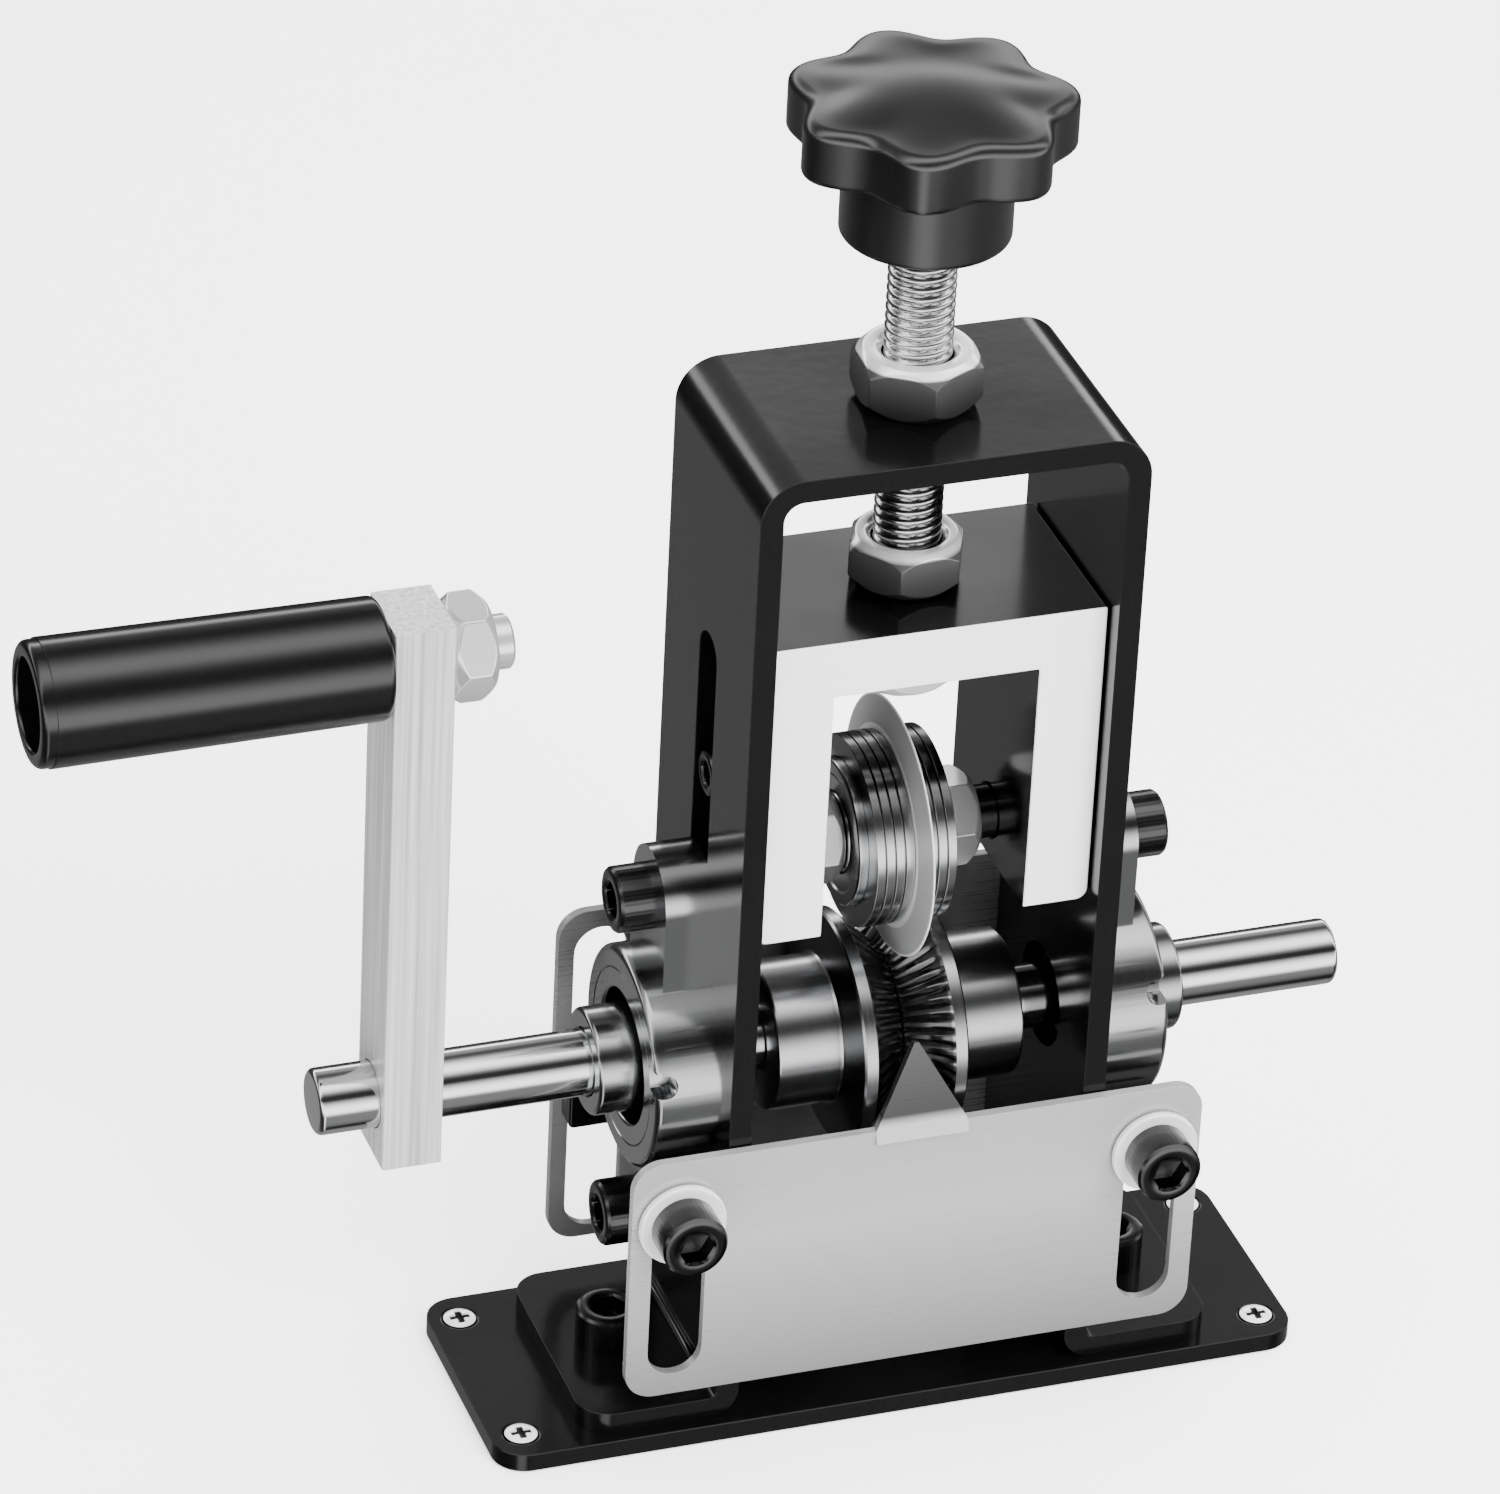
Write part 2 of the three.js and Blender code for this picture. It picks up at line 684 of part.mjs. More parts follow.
// Insert bearing: an outer ring in the housing and an inner ring that is also the locking collar
function addInsertBearing(group, side) {
  const { name, heading } = side;
  const ringInnerEnd = heading * (legOuter + housingFloor + seatGap);
  const ringOuterEnd = ringInnerEnd + heading * insertRingWidth;
  const collarEnd = heading * (legOuter + collarReach);
  const collarRadius = collarDiameter / 2;
  const bore = shaftDiameter / 2 + fitGap;
  const ballSpace = insertOuterRadius - insertRingWall - collarRadius;
  const ballX = (ringInnerEnd + ringOuterEnd) / 2;
  const outerRing = shieldedRing(
    insertOuterRadius,
    insertRingWall,
    collarRadius,
    ringInnerEnd,
    ringOuterEnd,
  );
  const collar = turned([
    [bore, ringInnerEnd],
    [collarRadius, ringInnerEnd],
    [collarRadius, collarEnd - heading * collarEdge],
    [collarRadius - collarEdge, collarEnd],
    [bore, collarEnd],
    [bore, ringInnerEnd],
  ], 'x');
  addPiece(group, `bearing_outer_ring_${name}`, outerRing, 'darkSteel');
  addPiece(group, `bearing_collar_${name}`, withBalls(collar, collarRadius, ballSpace, ballX), 'darkSteel');
}

// One feed roller: a plain hub, a rim and a toothed cone that faces its twin, drawn for the right side
function makeFeedRoller(heading) {
  const groove = rollerGrooveDiameter / 2;
  const rim = rollerRimDiameter / 2;
  const hub = rollerHubDiameter / 2;
  const bore = shaftDiameter / 2 + fitGap;
  const meeting = seatGap / 2;
  const screwX = (rollerHubReach + rollerBackReach) / 2;
  const coneAngle = Math.atan2(rim - groove, rollerRimInner - meeting);
  const coneLength = Math.hypot(rim - groove, rollerRimInner - meeting);
  let roller = turned([
    [bore, meeting],
    [groove, meeting],
    [rim, rollerRimInner],
    [rim, rollerRimOuter],
    [hub, rollerBackReach],
    [hub, rollerHubReach - rollerEdge],
    [hub - rollerEdge, rollerHubReach],
    [bore, rollerHubReach],
    [bore, meeting],
  ], 'x', [0, 0, 0], broadSides);
  const section = new THREE.Shape();
  section.moveTo(0, -rollerToothDepth);
  section.lineTo(rollerToothWidth / 2, rollerToothOverlap);
  section.lineTo(-rollerToothWidth / 2, rollerToothOverlap);
  section.closePath();
  const alongCone = new THREE.Vector3(Math.cos(coneAngle), 0, Math.sin(coneAngle));
  const offCone = new THREE.Vector3(-Math.sin(coneAngle), 0, Math.cos(coneAngle));
  for (let tooth = 0; tooth < rollerToothCount; tooth += 1) {
    const geometry = new THREE.ExtrudeGeometry(section, {
      depth: coneLength + 2 * cutOverrun,
      bevelEnabled: false,
    });
    geometry.translate(0, 0, -cutOverrun);
    geometry.applyMatrix4(new THREE.Matrix4().makeBasis(north, offCone, alongCone));
    geometry.translate(meeting, 0, groove);
    geometry.rotateX(tooth / rollerToothCount * 2 * Math.PI);
    roller = roller.subtract(asSolid(geometry));
  }
  const screwHole = bar(rollerScrewDiameter + 2 * fitGap, 'y', 0, hub + cutOverrun, [screwX, 0, 0]);
  roller = roller.subtract(screwHole);
  const geometry = asGeometry(roller);
  geometry.scale(heading, 1, 1);
  return asSolid(geometry);
}

// The roller's grub screw, in the back of its hub
function makeRollerScrew(heading) {
  const inner = shaftDiameter / 2 + fitGap;
  const outer = rollerHubDiameter / 2 - seatGap;
  const x = heading * (rollerHubReach + rollerBackReach) / 2;
  return grubScrew(rollerScrewDiameter, 'y', inner, outer, [x, 0, 0]);
}

// Drive shaft with chamfered ends; a drill chuck can take the right one
function makeDriveShaft() {
  const radius = shaftDiameter / 2;
  return turned([
    [0, -shaftLeftReach],
    [radius - shaftChamfer, -shaftLeftReach],
    [radius, shaftChamfer - shaftLeftReach],
    [radius, shaftRightReach - shaftChamfer],
    [radius - shaftChamfer, shaftRightReach],
    [0, shaftRightReach],
  ], 'x');
}

// Crank arm: a flat bar with a shaft hole, a grip hole and a set screw hole in its lower end
function makeCrankArm() {
  const middleX = -(armNearFace + armThickness / 2);
  const outline = roundedRectangle(armThickness, armDepth, armEdge, middleX, 0);
  const left = -armFarFace - cutOverrun;
  const right = -armNearFace + cutOverrun;
  const gripCentre = [0, 0, gripThrow];
  let arm = pushed(outline, 'z', -armLowerReach, armUpperReach, 1);
  arm = arm.subtract(bar(shaftDiameter + 2 * fitGap, 'x', left, right));
  arm = arm.subtract(bar(gripBoltDiameter + 2 * fitGap, 'x', left, right, gripCentre));
  const screwHole = bar(armScrewDiameter + 2 * fitGap, 'z', -armLowerReach - cutOverrun, 0,
    [middleX, 0, 0], smallSides);
  return arm.subtract(screwHole);
}

// The set screw that grips the shaft from the arm's lower end
function makeArmSetScrew() {
  const inner = -shaftDiameter / 2 - fitGap;
  const outer = seatGap - armLowerReach;
  const middleX = -(armNearFace + armThickness / 2);
  return grubScrew(armScrewDiameter, 'z', inner, outer, [middleX, 0, 0]);
}

// The long bolt that the grip turns on
function makeGripBolt() {
  const seat = -(gripSocketFloor + seatGap);
  const sizes = {
    diameter: gripBoltDiameter,
    headDiameter: gripBoltHeadDiameter,
    headHeight: gripBoltHeadHeight,
    edge: capScrewHeadEdge,
    socket: gripBoltSocket,
    socketDepth: gripBoltHeadHeight / 2,
    length: gripSocketFloor + seatGap - armNearFace + gripBoltTail,
  };
  return socketScrew(sizes, 'x', seat, -1, [0, 0, gripThrow]);
}

// The nut that holds the grip's bolt in the arm
function makeGripNut() {
  const from = -armNearFace;
  const bore = gripBoltDiameter + 2 * fitGap;
  const centre = [0, 0, gripThrow];
  return hexNut(gripNutAcrossFlats, bore, 'x', from, from + gripNutHeight, gripNutTurn, centre);
}

// Round grip, slightly tapered, with a rolled rim and a socket for the bolt's head
function makeGrip() {
  const bore = gripBoltDiameter / 2 + fitGap;
  const socket = gripBoltHeadDiameter / 2 + fitGap;
  const endRadius = gripEndDiameter / 2;
  const rootRadius = gripRootDiameter / 2;
  const rimInner = gripFar - gripRimWidth;
  const round = gripRimRound;
  return turned([
    [bore, -gripNear],
    [rootRadius - round / 2, -gripNear],
    [rootRadius, -gripNear - round / 2],
    [endRadius - gripRimWaist, -rimInner],
    [endRadius, -rimInner - gripRimWaist],
    [endRadius, -gripFar + round],
    [endRadius - round * (1 - Math.SQRT1_2), -gripFar + round * (1 - Math.SQRT1_2)],
    [endRadius - round, -gripFar],
    [socket, -gripFar],
    [socket, -gripSocketFloor],
    [bore, -gripSocketFloor],
    [bore, -gripNear],
  ], 'x');
}

// Carriage: an upturned U block that slides between the frame's legs
function makeCarriageBlock() {
  const half = carriageWidth / 2;
  const inner = carriageInner;
  const radius = carriageCornerRadius;
  const quarter = Math.PI / 2;
  const outline = new THREE.Shape();
  outline.moveTo(inner, carriageBottom);
  outline.absarc(half - radius, carriageBottom + radius, radius, -quarter, 0);
  outline.lineTo(half, carriageTop);
  outline.lineTo(-half, carriageTop);
  outline.absarc(radius - half, carriageBottom + radius, radius, Math.PI, Math.PI + quarter);
  outline.lineTo(-inner, carriageBottom);
  outline.lineTo(-inner, carriageCeiling);
  outline.lineTo(inner, carriageCeiling);
  outline.closePath();
  const reach = half + cutOverrun;
  let block = pushed(outline, 'y', -carriageDepth / 2, carriageDepth / 2);
  block = block.subtract(bar(axleDiameter + 2 * fitGap, 'x', -reach, reach, [0, 0, bladeHeight]));
  for (const { heading } of sides) {
    const depth = guidePinShankLength + seatGap;
    const hole = bar(guidePinShankDiameter + 2 * fitGap, 'x', heading * (half - depth), heading * reach,
      [0, 0, guidePinHeight], smallSides);
    block = block.subtract(hole);
  }
  const rodHole = screwDiameter + 2 * fitGap;
  return block.subtract(bar(rodHole, 'z', carriageCeiling - cutOverrun, carriageTop + cutOverrun));
}

// Guide pin: a small cap screw whose head runs in the frame's slot
function makeGuidePin(heading) {
  const sizes = {
    diameter: guidePinShankDiameter,
    headDiameter: guidePinHeadDiameter,
    headHeight: guidePinHeadHeight,
    edge: capScrewHeadEdge / 2,
    socket: guidePinHeadDiameter / 2,
    socketDepth: guidePinHeadHeight / 2,
    length: guidePinShankLength,
  };
  return socketScrew(sizes, 'x', heading * carriageWidth / 2, heading, [0, 0, guidePinHeight]);
}

// Round cutting blade, ground to an edge from both sides
function makeBlade() {
  const bore = bladeBearingDiameter / 2 + fitGap;
  const half = bladeThickness / 2;
  const edge = bladeEdgeThickness / 2;
  return turned([
    [bore, -half],
    [bladeBevelDiameter / 2, -half],
    [bladeDiameter / 2, -edge],
    [bladeDiameter / 2, edge],
    [bladeBevelDiameter / 2, half],
    [bore, half],
    [bore, -half],
  ], 'x', [0, 0, 0], broadSides);
}

// The spacer washers clamped on one side of the blade, with a fine groove between each two
function makeSpacerPack(heading, count) {
  const bore = bladeBearingDiameter / 2 + fitGap;
  const rim = spacerDiameter / 2;
  const from = heading * bladeThickness / 2;
  let pack = ring(bore, rim, 'x', from, from + heading * count * spacerThickness);
  for (let washer = 1; washer < count; washer += 1) {
    const middle = from + heading * washer * spacerThickness;
    const groove = turned([
      [rim - spacerGrooveDepth, middle],
      [rim + cutOverrun, middle - spacerGrooveWidth],
      [rim + cutOverrun, middle + spacerGrooveWidth],
      [rim - spacerGrooveDepth, middle],
    ], 'x');
    pack = pack.subtract(groove);
  }
  return pack;
}

// Axle, nuts, bearings, washers and blade on the carriage's cross axis
function addBladeStack(group) {
  const axleRadius = axleDiameter / 2;
  const innerRing = axleRadius + bladeBearingRingWall;
  const outerRadius = bladeBearingDiameter / 2;
  const ballSpace = outerRadius - bladeBearingRingWall - innerRing;
  const stackLeft = -(bladeThickness / 2 + leftSpacerCount * spacerThickness) - bladeBearingProud;
  const stackMiddle = stackLeft + bladeBearingWidth;
  const stackRight = stackMiddle + bladeBearingWidth;
  const axleEnd = carriageWidth / 2 - seatGap;
  const bore = axleDiameter + 2 * fitGap;
  addPiece(group, 'blade_axle', bar(axleDiameter, 'x', -axleEnd, axleEnd), 'zinc');
  const bearings = [
    { name: 'left', inner: stackMiddle - seatGap / 2, outer: stackLeft },
    { name: 'right', inner: stackMiddle + seatGap / 2, outer: stackRight },
  ];
  for (const { name, inner, outer } of bearings) {
    const shield = shieldedRing(outerRadius, bladeBearingRingWall, innerRing, inner, outer);
    const race = ring(axleRadius + fitGap, innerRing, 'x', inner, outer);
    const ballRace = withBalls(race, innerRing, ballSpace, (inner + outer) / 2);
    addPiece(group, `blade_bearing_inner_ring_${name}`, ballRace, 'brightSteel');
    addPiece(group, `blade_bearing_outer_ring_${name}`, shield, 'darkSteel');
  }
  const leftFace = stackLeft - seatGap;
  const rightFace = stackRight + seatGap;
  const leftNut = hexNut(axleNutAcrossFlats, bore, 'x', leftFace - axleNutHeight, leftFace, leftNutTurn);
  const rightNut = hexNut(axleNutAcrossFlats, bore, 'x', rightFace, rightFace + axleNutHeight, rightNutTurn);
  addPiece(group, 'axle_nut_left', leftNut, 'brightSteel');
  addPiece(group, 'axle_nut_right', rightNut, 'brightSteel');
  addPiece(group, 'blade', makeBlade(), 'brightSteel');
  addPiece(group, 'spacer_washers_left', makeSpacerPack(-1, leftSpacerCount), 'brightSteel');
  addPiece(group, 'spacer_washers_right', makeSpacerPack(1, rightSpacerCount), 'brightSteel');
}

// Lead screw from below the carriage's top up into the knob
function makeLeadScrew() {
  const radius = screwDiameter / 2;
  const top = knobBottom + knobSocketDepth - seatGap;
  return turned([
    [0, screwBottom],
    [radius - screwChamfer, screwBottom],
    [radius, screwBottom + screwChamfer],
    [radius, top],
    [0, top],
  ], 'z');
}

// The star's outline: a circle whose radius swings once for each lobe
function starOutline() {
  const middle = (knobLobeDiameter + knobValleyDiameter) / 4 - knobEdge;
  const swing = (knobLobeDiameter - knobValleyDiameter) / 4;
  const turn = THREE.MathUtils.degToRad(knobLobeTurn);
  const count = knobLobeCount * knobPointsPerLobe;
  const points = [];
  for (let step = 0; step < count; step += 1) {
    const angle = step / count * 2 * Math.PI;
    const radius = middle + swing * Math.cos(knobLobeCount * angle);
    points.push(new THREE.Vector2(radius * Math.cos(angle + turn), radius * Math.sin(angle + turn)));
  }
  return new THREE.Shape(points);
}

// Star knob: hub, lobed skirt and a raised crown
function makeKnob() {
  const skirt = new THREE.ExtrudeGeometry(starOutline(), {
    depth: knobSkirtHeight - 2 * knobEdge,
    bevelEnabled: true,
    bevelThickness: knobEdge,
    bevelSize: knobEdge,
    bevelSegments: 2,
  });
  skirt.translate(0, 0, knobSkirtBottom + knobEdge);
  const domeRadius = knobDomeDiameter / 2;
  const domeSteps = 2 * cornerSteps;
  const domeBase = knobSkirtTop - knobEdge / 2;
  const profile = [[0, knobBottom], [knobHubDiameter / 2, knobBottom]];
  profile.push([knobHubDiameter / 2, knobSkirtBottom + knobEdge]);
  profile.push([domeRadius, knobSkirtBottom + knobEdge]);
  for (let step = 0; step <= domeSteps; step += 1) {
    const share = step / domeSteps;
    const rise = (1 + Math.cos(Math.PI * (1 - share))) / 2;
    profile.push([domeRadius * (1 - share), domeBase + (knobDomeHeight + knobEdge / 2) * rise]);
  }
  const core = turned(profile, 'z', [0, 0, 0], broadSides);
  const socket = bar(screwDiameter + 2 * fitGap, 'z', knobBottom - cutOverrun, knobBottom + knobSocketDepth);
  return asSolid(skirt).add(core).subtract(socket);
}

// A slotted guide plate between two places along Y
function slottedPlate(width, bottom, top, slotBottom, slotTop, from, to) {
  const middle = (bottom + top) / 2;
  const outline = roundedRectangle(width, top - bottom, plateCornerRadius, 0, middle);
  let plate = pushed(outline, 'y', from, to);
  for (const { heading } of sides) {
    const slot = uprightSlot(plateSlotWidth, slotBottom, slotTop, heading * plateSlotSpacing / 2);
    plate = plate.subtract(pushed(slot, 'y', from - cutOverrun, to + cutOverrun, 2 * cornerSteps));
  }
  return plate;
}

// Front plate with a pointed tongue that leans back between the rollers
function makeFrontGuidePlate() {
  const plate = slottedPlate(frontPlateWidth, frontPlateBottom, frontPlateTop, frontSlotBottom, frontSlotTop,
    -plateFront, -plateBack);
  const outline = new THREE.Shape();
  outline.moveTo(-tongueWidth / 2, -plateThickness);
  outline.lineTo(tongueWidth / 2, -plateThickness);
  outline.lineTo(tongueWidth / 2, 0);
  outline.lineTo(tongueTip / 2, tongueLength);
  outline.lineTo(-tongueTip / 2, tongueLength);
  outline.lineTo(-tongueWidth / 2, 0);
  outline.closePath();
  const tongue = new THREE.ExtrudeGeometry(outline, { depth: plateThickness, bevelEnabled: false });
  tongue.applyMatrix4(drawnAlong.y);
  tongue.translate(0, plateThickness, 0);
  const lean = THREE.MathUtils.degToRad(tongueAngle);
  tongue.rotateX(-lean);
  tongue.translate(0, -plateFront, frontPlateTop - plateThickness * Math.sin(lean));
  return plate.add(asSolid(tongue));
}

// Rear plate with a notch for thick cable and a hole for thin wire
function makeRearGuidePlate() {
  const from = plateBack - cutOverrun;
  const to = plateFront + cutOverrun;
  const plate = slottedPlate(rearPlateWidth, rearPlateBottom, rearPlateTop, rearSlotBottom, rearSlotTop,
    plateBack, plateFront);
  const notchTop = rearPlateTop + rearNotchWidth;
  const notch = uprightSlot(rearNotchWidth, rearPlateTop - rearNotchDepth, notchTop);
  const hole = bar(rearHoleDiameter, 'y', from, to, [0, 0, rearHoleHeight], smallSides);
  return plate.subtract(pushed(notch, 'y', from, to, 2 * cornerSteps)).subtract(hole);
}

// Lug welded to the frame's leg, threaded for one plate screw
function makePlateLug(heading, facing) {
  const low = plateScrewHeight - lugHeight / 2;
  const width = lugReach;
  const centreX = heading * (legOuter + lugReach / 2);
  const outline = roundedRectangle(width, lugHeight, lugEdge, centreX, low + lugHeight / 2);
  const outer = facing * frameDepth / 2;
  const inner = outer - facing * lugDepth;
  const screwX = heading * plateSlotSpacing / 2;
  const holeInner = inner - facing * cutOverrun;
  const holeOuter = outer + facing * cutOverrun;
  const hole = bar(capScrewDiameter + 2 * fitGap, 'y', holeInner, holeOuter, [screwX, 0, plateScrewHeight]);
  return pushed(outline, 'y', inner, outer, 1).subtract(hole);
}

// Lugs, plate screws and washers on the front and the back
function addPlateFixings(group) {
  for (const { end, facing } of [{ end: 'front', facing: -1 }, { end: 'rear', facing: 1 }]) {
    for (const { name, heading } of sides) {
      const centre = [heading * plateSlotSpacing / 2, 0, plateScrewHeight];
      const length = washerFront - frameDepth / 2 + lugDepth - seatGap;
      const screw = capScrew(length, 'y', facing * washerFront, facing, centre);
      const bore = capScrewDiameter / 2 + fitGap;
      const washer = ring(bore, washerDiameter / 2, 'y', facing * washerBack, facing * washerFront, centre);
      addPiece(group, `plate_lug_${end}_${name}`, makePlateLug(heading, facing), 'glossBlack');
      addPiece(group, `plate_screw_${end}_${name}`, screw, 'blackOxide');
      addPiece(group, `plate_washer_${end}_${name}`, washer, 'zinc');
    }
  }
}

// Frame: everything that stays on the bench
function makeFrameGroup() {
  const group = new THREE.Group();
  const nutBore = screwDiameter + 2 * fitGap;
  addPiece(group, 'base_plate', makeBasePlate(), 'glossBlack');
  for (const { name, at } of baseScrewPlaces()) {
    addPiece(group, `base_screw_${name}`, makeBaseScrew(at), 'zinc');
  }
  addPiece(group, 'frame_bracket', makeFrameBracket(), 'glossBlack');
  for (const { name, heading } of sides) {
    const bolt = capScrew(footTop - seatGap, 'z', footTop, 1, [heading * footBoltX, 0, 0]);
    addPiece(group, `foot_bolt_${name}`, bolt, 'blackOxide');
  }
  const leadNut = hexNut(screwNutAcrossFlats, nutBore, 'z', frameTop, frameTop + leadNutHeight, leadNutTurn);
  addPiece(group, 'lead_nut', leadNut, 'darkSteel');
  addPlateFixings(group);
  return group;
}

// Bearing housings and their bolts, about the shaft's axis
function addBearingHousings(group) {
  const seat = legOuter + housingFlangeThickness;
  const length = seat - legInner - seatGap;
  for (const { name, heading } of sides) {
    addPiece(group, `bearing_housing_${name}`, makeBearingHousing(heading), 'darkSteel');
    for (const { end, ear } of [{ end: 'upper', ear: 1 }, { end: 'lower', ear: -1 }]) {
      const centre = [0, 0, ear * housingEarSpacing];
      const bolt = capScrew(length, 'x', heading * seat, heading, centre);
      addPiece(group, `housing_bolt_${name}_${end}`, bolt, 'blackOxide');
    }
  }
}

// Shaft, rollers, arm and the grip's bolt, which turn together about the shaft's axis
function addCrank(group) {
  addPiece(group, 'drive_shaft', makeDriveShaft(), 'chrome');
  for (const { name, heading } of sides) {
    addPiece(group, `feed_roller_${name}`, makeFeedRoller(heading), 'darkSteel');
    addPiece(group, `roller_grub_screw_${name}`, makeRollerScrew(heading), 'blackOxide');
  }
  addPiece(group, 'crank_arm', makeCrankArm(), 'aluminium');
  addPiece(group, 'arm_set_screw', makeArmSetScrew(), 'blackOxide');
  addPiece(group, 'grip_bolt', makeGripBolt(), 'zinc');
  addPiece(group, 'grip_nut', makeGripNut(), 'zinc');
}

// Lead screw with its two nuts and the knob, which turn together in the carriage
function addLeadScrew(group) {
  const bore = screwDiameter + 2 * fitGap;
  const collarBottom = carriageTop + seatGap;
  const retainingTop = carriageCeiling - seatGap;
  const collarNut = hexNut(collarNutAcrossFlats, bore, 'z', collarBottom, collarBottom + collarNutHeight,
    collarNutTurn);
  const retainingBottom = retainingTop - retainingNutHeight;
  const retainingNut = hexNut(collarNutAcrossFlats, bore, 'z', retainingBottom, retainingTop, collarNutTurn);
  addPiece(group, 'lead_screw', makeLeadScrew(), 'brightSteel');
  addPiece(group, 'collar_nut', collarNut, 'brightSteel');
  addPiece(group, 'retaining_nut', retainingNut, 'brightSteel');
  addPiece(group, 'knob', makeKnob(), 'blackPlastic');
}

// The whole machine
function makeMachine() {
  const machine = new THREE.Group();
  const shaftLine = new THREE.Group();
  const bladeLine = new THREE.Group();
  shaftLine.position.z = shaftHeight;
  bladeLine.position.z = bladeHeight;
  machine.add(makeFrameGroup(), shaftLine, bladeLine);
  addBearingHousings(shaftLine);
  addCrank(shaftLine);
  for (const side of sides) {
    addInsertBearing(shaftLine, side);
  }
  const gripLine = new THREE.Group();
  gripLine.position.z = gripThrow;
  shaftLine.add(gripLine);
  addPiece(gripLine, 'grip', makeGrip(), 'blackPlastic');
  addPiece(machine, 'carriage_block', makeCarriageBlock(), 'aluminium');
  for (const { name, heading } of sides) {
    addPiece(machine, `guide_pin_${name}`, makeGuidePin(heading), 'blackOxide');
  }
  addBladeStack(bladeLine);
  addLeadScrew(machine);
  addPiece(machine, 'front_guide_plate', makeFrontGuidePlate(), 'stainless');
  addPiece(machine, 'rear_guide_plate', makeRearGuidePlate(), 'stainless');
  return machine;
}

export default makeMachine();
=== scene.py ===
"""Looks of a hand crank wire stripper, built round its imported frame.

Sizes are in millimetres and are turned to metres where a mesh is made. X runs along the drive
shaft, Y away from the operator and Z up, from the centre of the base plate's underside.
"""

import json
import logging
import math
from dataclasses import dataclass, field, replace
from enum import Enum
from typing import Optional, Sequence, Union

import bmesh
import bpy
import numpy as np
from mathutils import Matrix, Vector

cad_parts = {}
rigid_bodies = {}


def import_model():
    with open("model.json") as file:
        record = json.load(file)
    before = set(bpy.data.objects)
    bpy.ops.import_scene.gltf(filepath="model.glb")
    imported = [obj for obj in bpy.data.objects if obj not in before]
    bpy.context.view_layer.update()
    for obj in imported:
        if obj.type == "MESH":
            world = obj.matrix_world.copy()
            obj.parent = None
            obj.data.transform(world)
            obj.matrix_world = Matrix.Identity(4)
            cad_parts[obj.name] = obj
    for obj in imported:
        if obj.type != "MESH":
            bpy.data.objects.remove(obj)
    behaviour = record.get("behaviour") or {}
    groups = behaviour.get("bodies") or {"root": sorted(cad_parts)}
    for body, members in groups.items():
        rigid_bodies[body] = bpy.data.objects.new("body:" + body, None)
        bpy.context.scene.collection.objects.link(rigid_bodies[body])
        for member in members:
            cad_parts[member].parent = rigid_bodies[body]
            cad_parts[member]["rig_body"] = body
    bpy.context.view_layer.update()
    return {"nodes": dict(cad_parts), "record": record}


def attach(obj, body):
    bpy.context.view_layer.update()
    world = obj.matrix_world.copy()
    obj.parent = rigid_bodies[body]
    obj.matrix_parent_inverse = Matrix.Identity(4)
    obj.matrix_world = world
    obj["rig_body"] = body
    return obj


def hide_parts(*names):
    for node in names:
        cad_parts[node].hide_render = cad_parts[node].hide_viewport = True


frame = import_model()
SLOTS = {row["node"]: row["material_slot"] for row in frame["record"]["subparts"]}
MM = 0.001
FULL_TURN = 2 * math.pi
log = logging.getLogger("wire_stripper")

Array = np.ndarray
Spot = Sequence[float]
ORIGIN = (0.0, 0.0, 0.0)
SHAFT_HEIGHT = 57.0
BLADE_HEIGHT = 90.8
SHAFT_LINE = (0.0, 0.0, SHAFT_HEIGHT)
BLADE_LINE = (0.0, 0.0, BLADE_HEIGHT)
SIDES = (("left", -1), ("right", 1))
ENDS = (("front", -1), ("rear", 1))
LEG_OUTER = 29.4  # The frame's legs stand this far out
LUG_SPREAD = 37.0  # The guide plates' screws stand this far out
EAR_SPACING = 27.5  # The housings' bolts lie this far above and below the shaft
BOLT_HOLE = 3.3  # Radius of a hole for a 6 mm screw
ROD_HOLE = 5.3  # Radius of a hole for the lead screw
ROD_NUT_BORE = 10.4
AXLE_NUT_BORE = 8.4
THROUGH = 30  # Half the length of a cutting bar that leaves nothing uncut


# Drawing with arrays


class Axis(Enum):
    """The axis that a shape is turned about or pushed along, with the two axes across it."""

    X = (0, 1, 2)
    Y = (1, 0, 2)
    Z = (2, 0, 1)

    def place(self, along: Array, across: Array, rise: Array, centre: Spot = ORIGIN) -> Array:
        """Stacks three arrays of places into points.

        Args:
            along: Places on this axis.
            across: Places on the first axis across it.
            rise: Places on the second axis across it.
            centre: What is added to every point.

        Returns:
            An array of points whose last axis has length 3.
        """
        points = np.zeros(np.broadcast(along, across, rise).shape + (3,))
        for spot, values in zip(self.value, (along, across, rise)):
            points[..., spot] = values
        return points + np.asarray(centre, float)


@dataclass
class Skin:
    """A surface in millimetres: its points and its faces, each a list of point numbers."""

    points: Array
    faces: list[list[int]]


def grid_skin(points: Array, wrap_rows: bool, wrap_columns: bool = True, caps: bool = False) -> Skin:
    """A skin over a grid of points: each four neighbours make a face.

    Args:
        points: Rows by columns by 3.
        wrap_rows: Whether the last row joins the first.
        wrap_columns: Whether the last column joins the first.
        caps: Whether the first and last rows are closed with one face each.

    Returns:
        The skin.
    """
    rows, columns = points.shape[:2]
    i = np.arange(rows if wrap_rows else rows - 1)[:, None]
    j = np.arange(columns if wrap_columns else columns - 1)[None, :]
    below, above = i * columns, (i + 1) % rows * columns
    right = (j + 1) % columns
    corners = np.stack([below + j, below + right, above + right, above + j], -1)
    faces = corners.reshape(-1, 4).tolist()
    if caps:
        first = np.arange(columns)
        faces += [first[::-1].tolist(), (first + (rows - 1) * columns).tolist()]
    return Skin(points.reshape(-1, 3), faces)


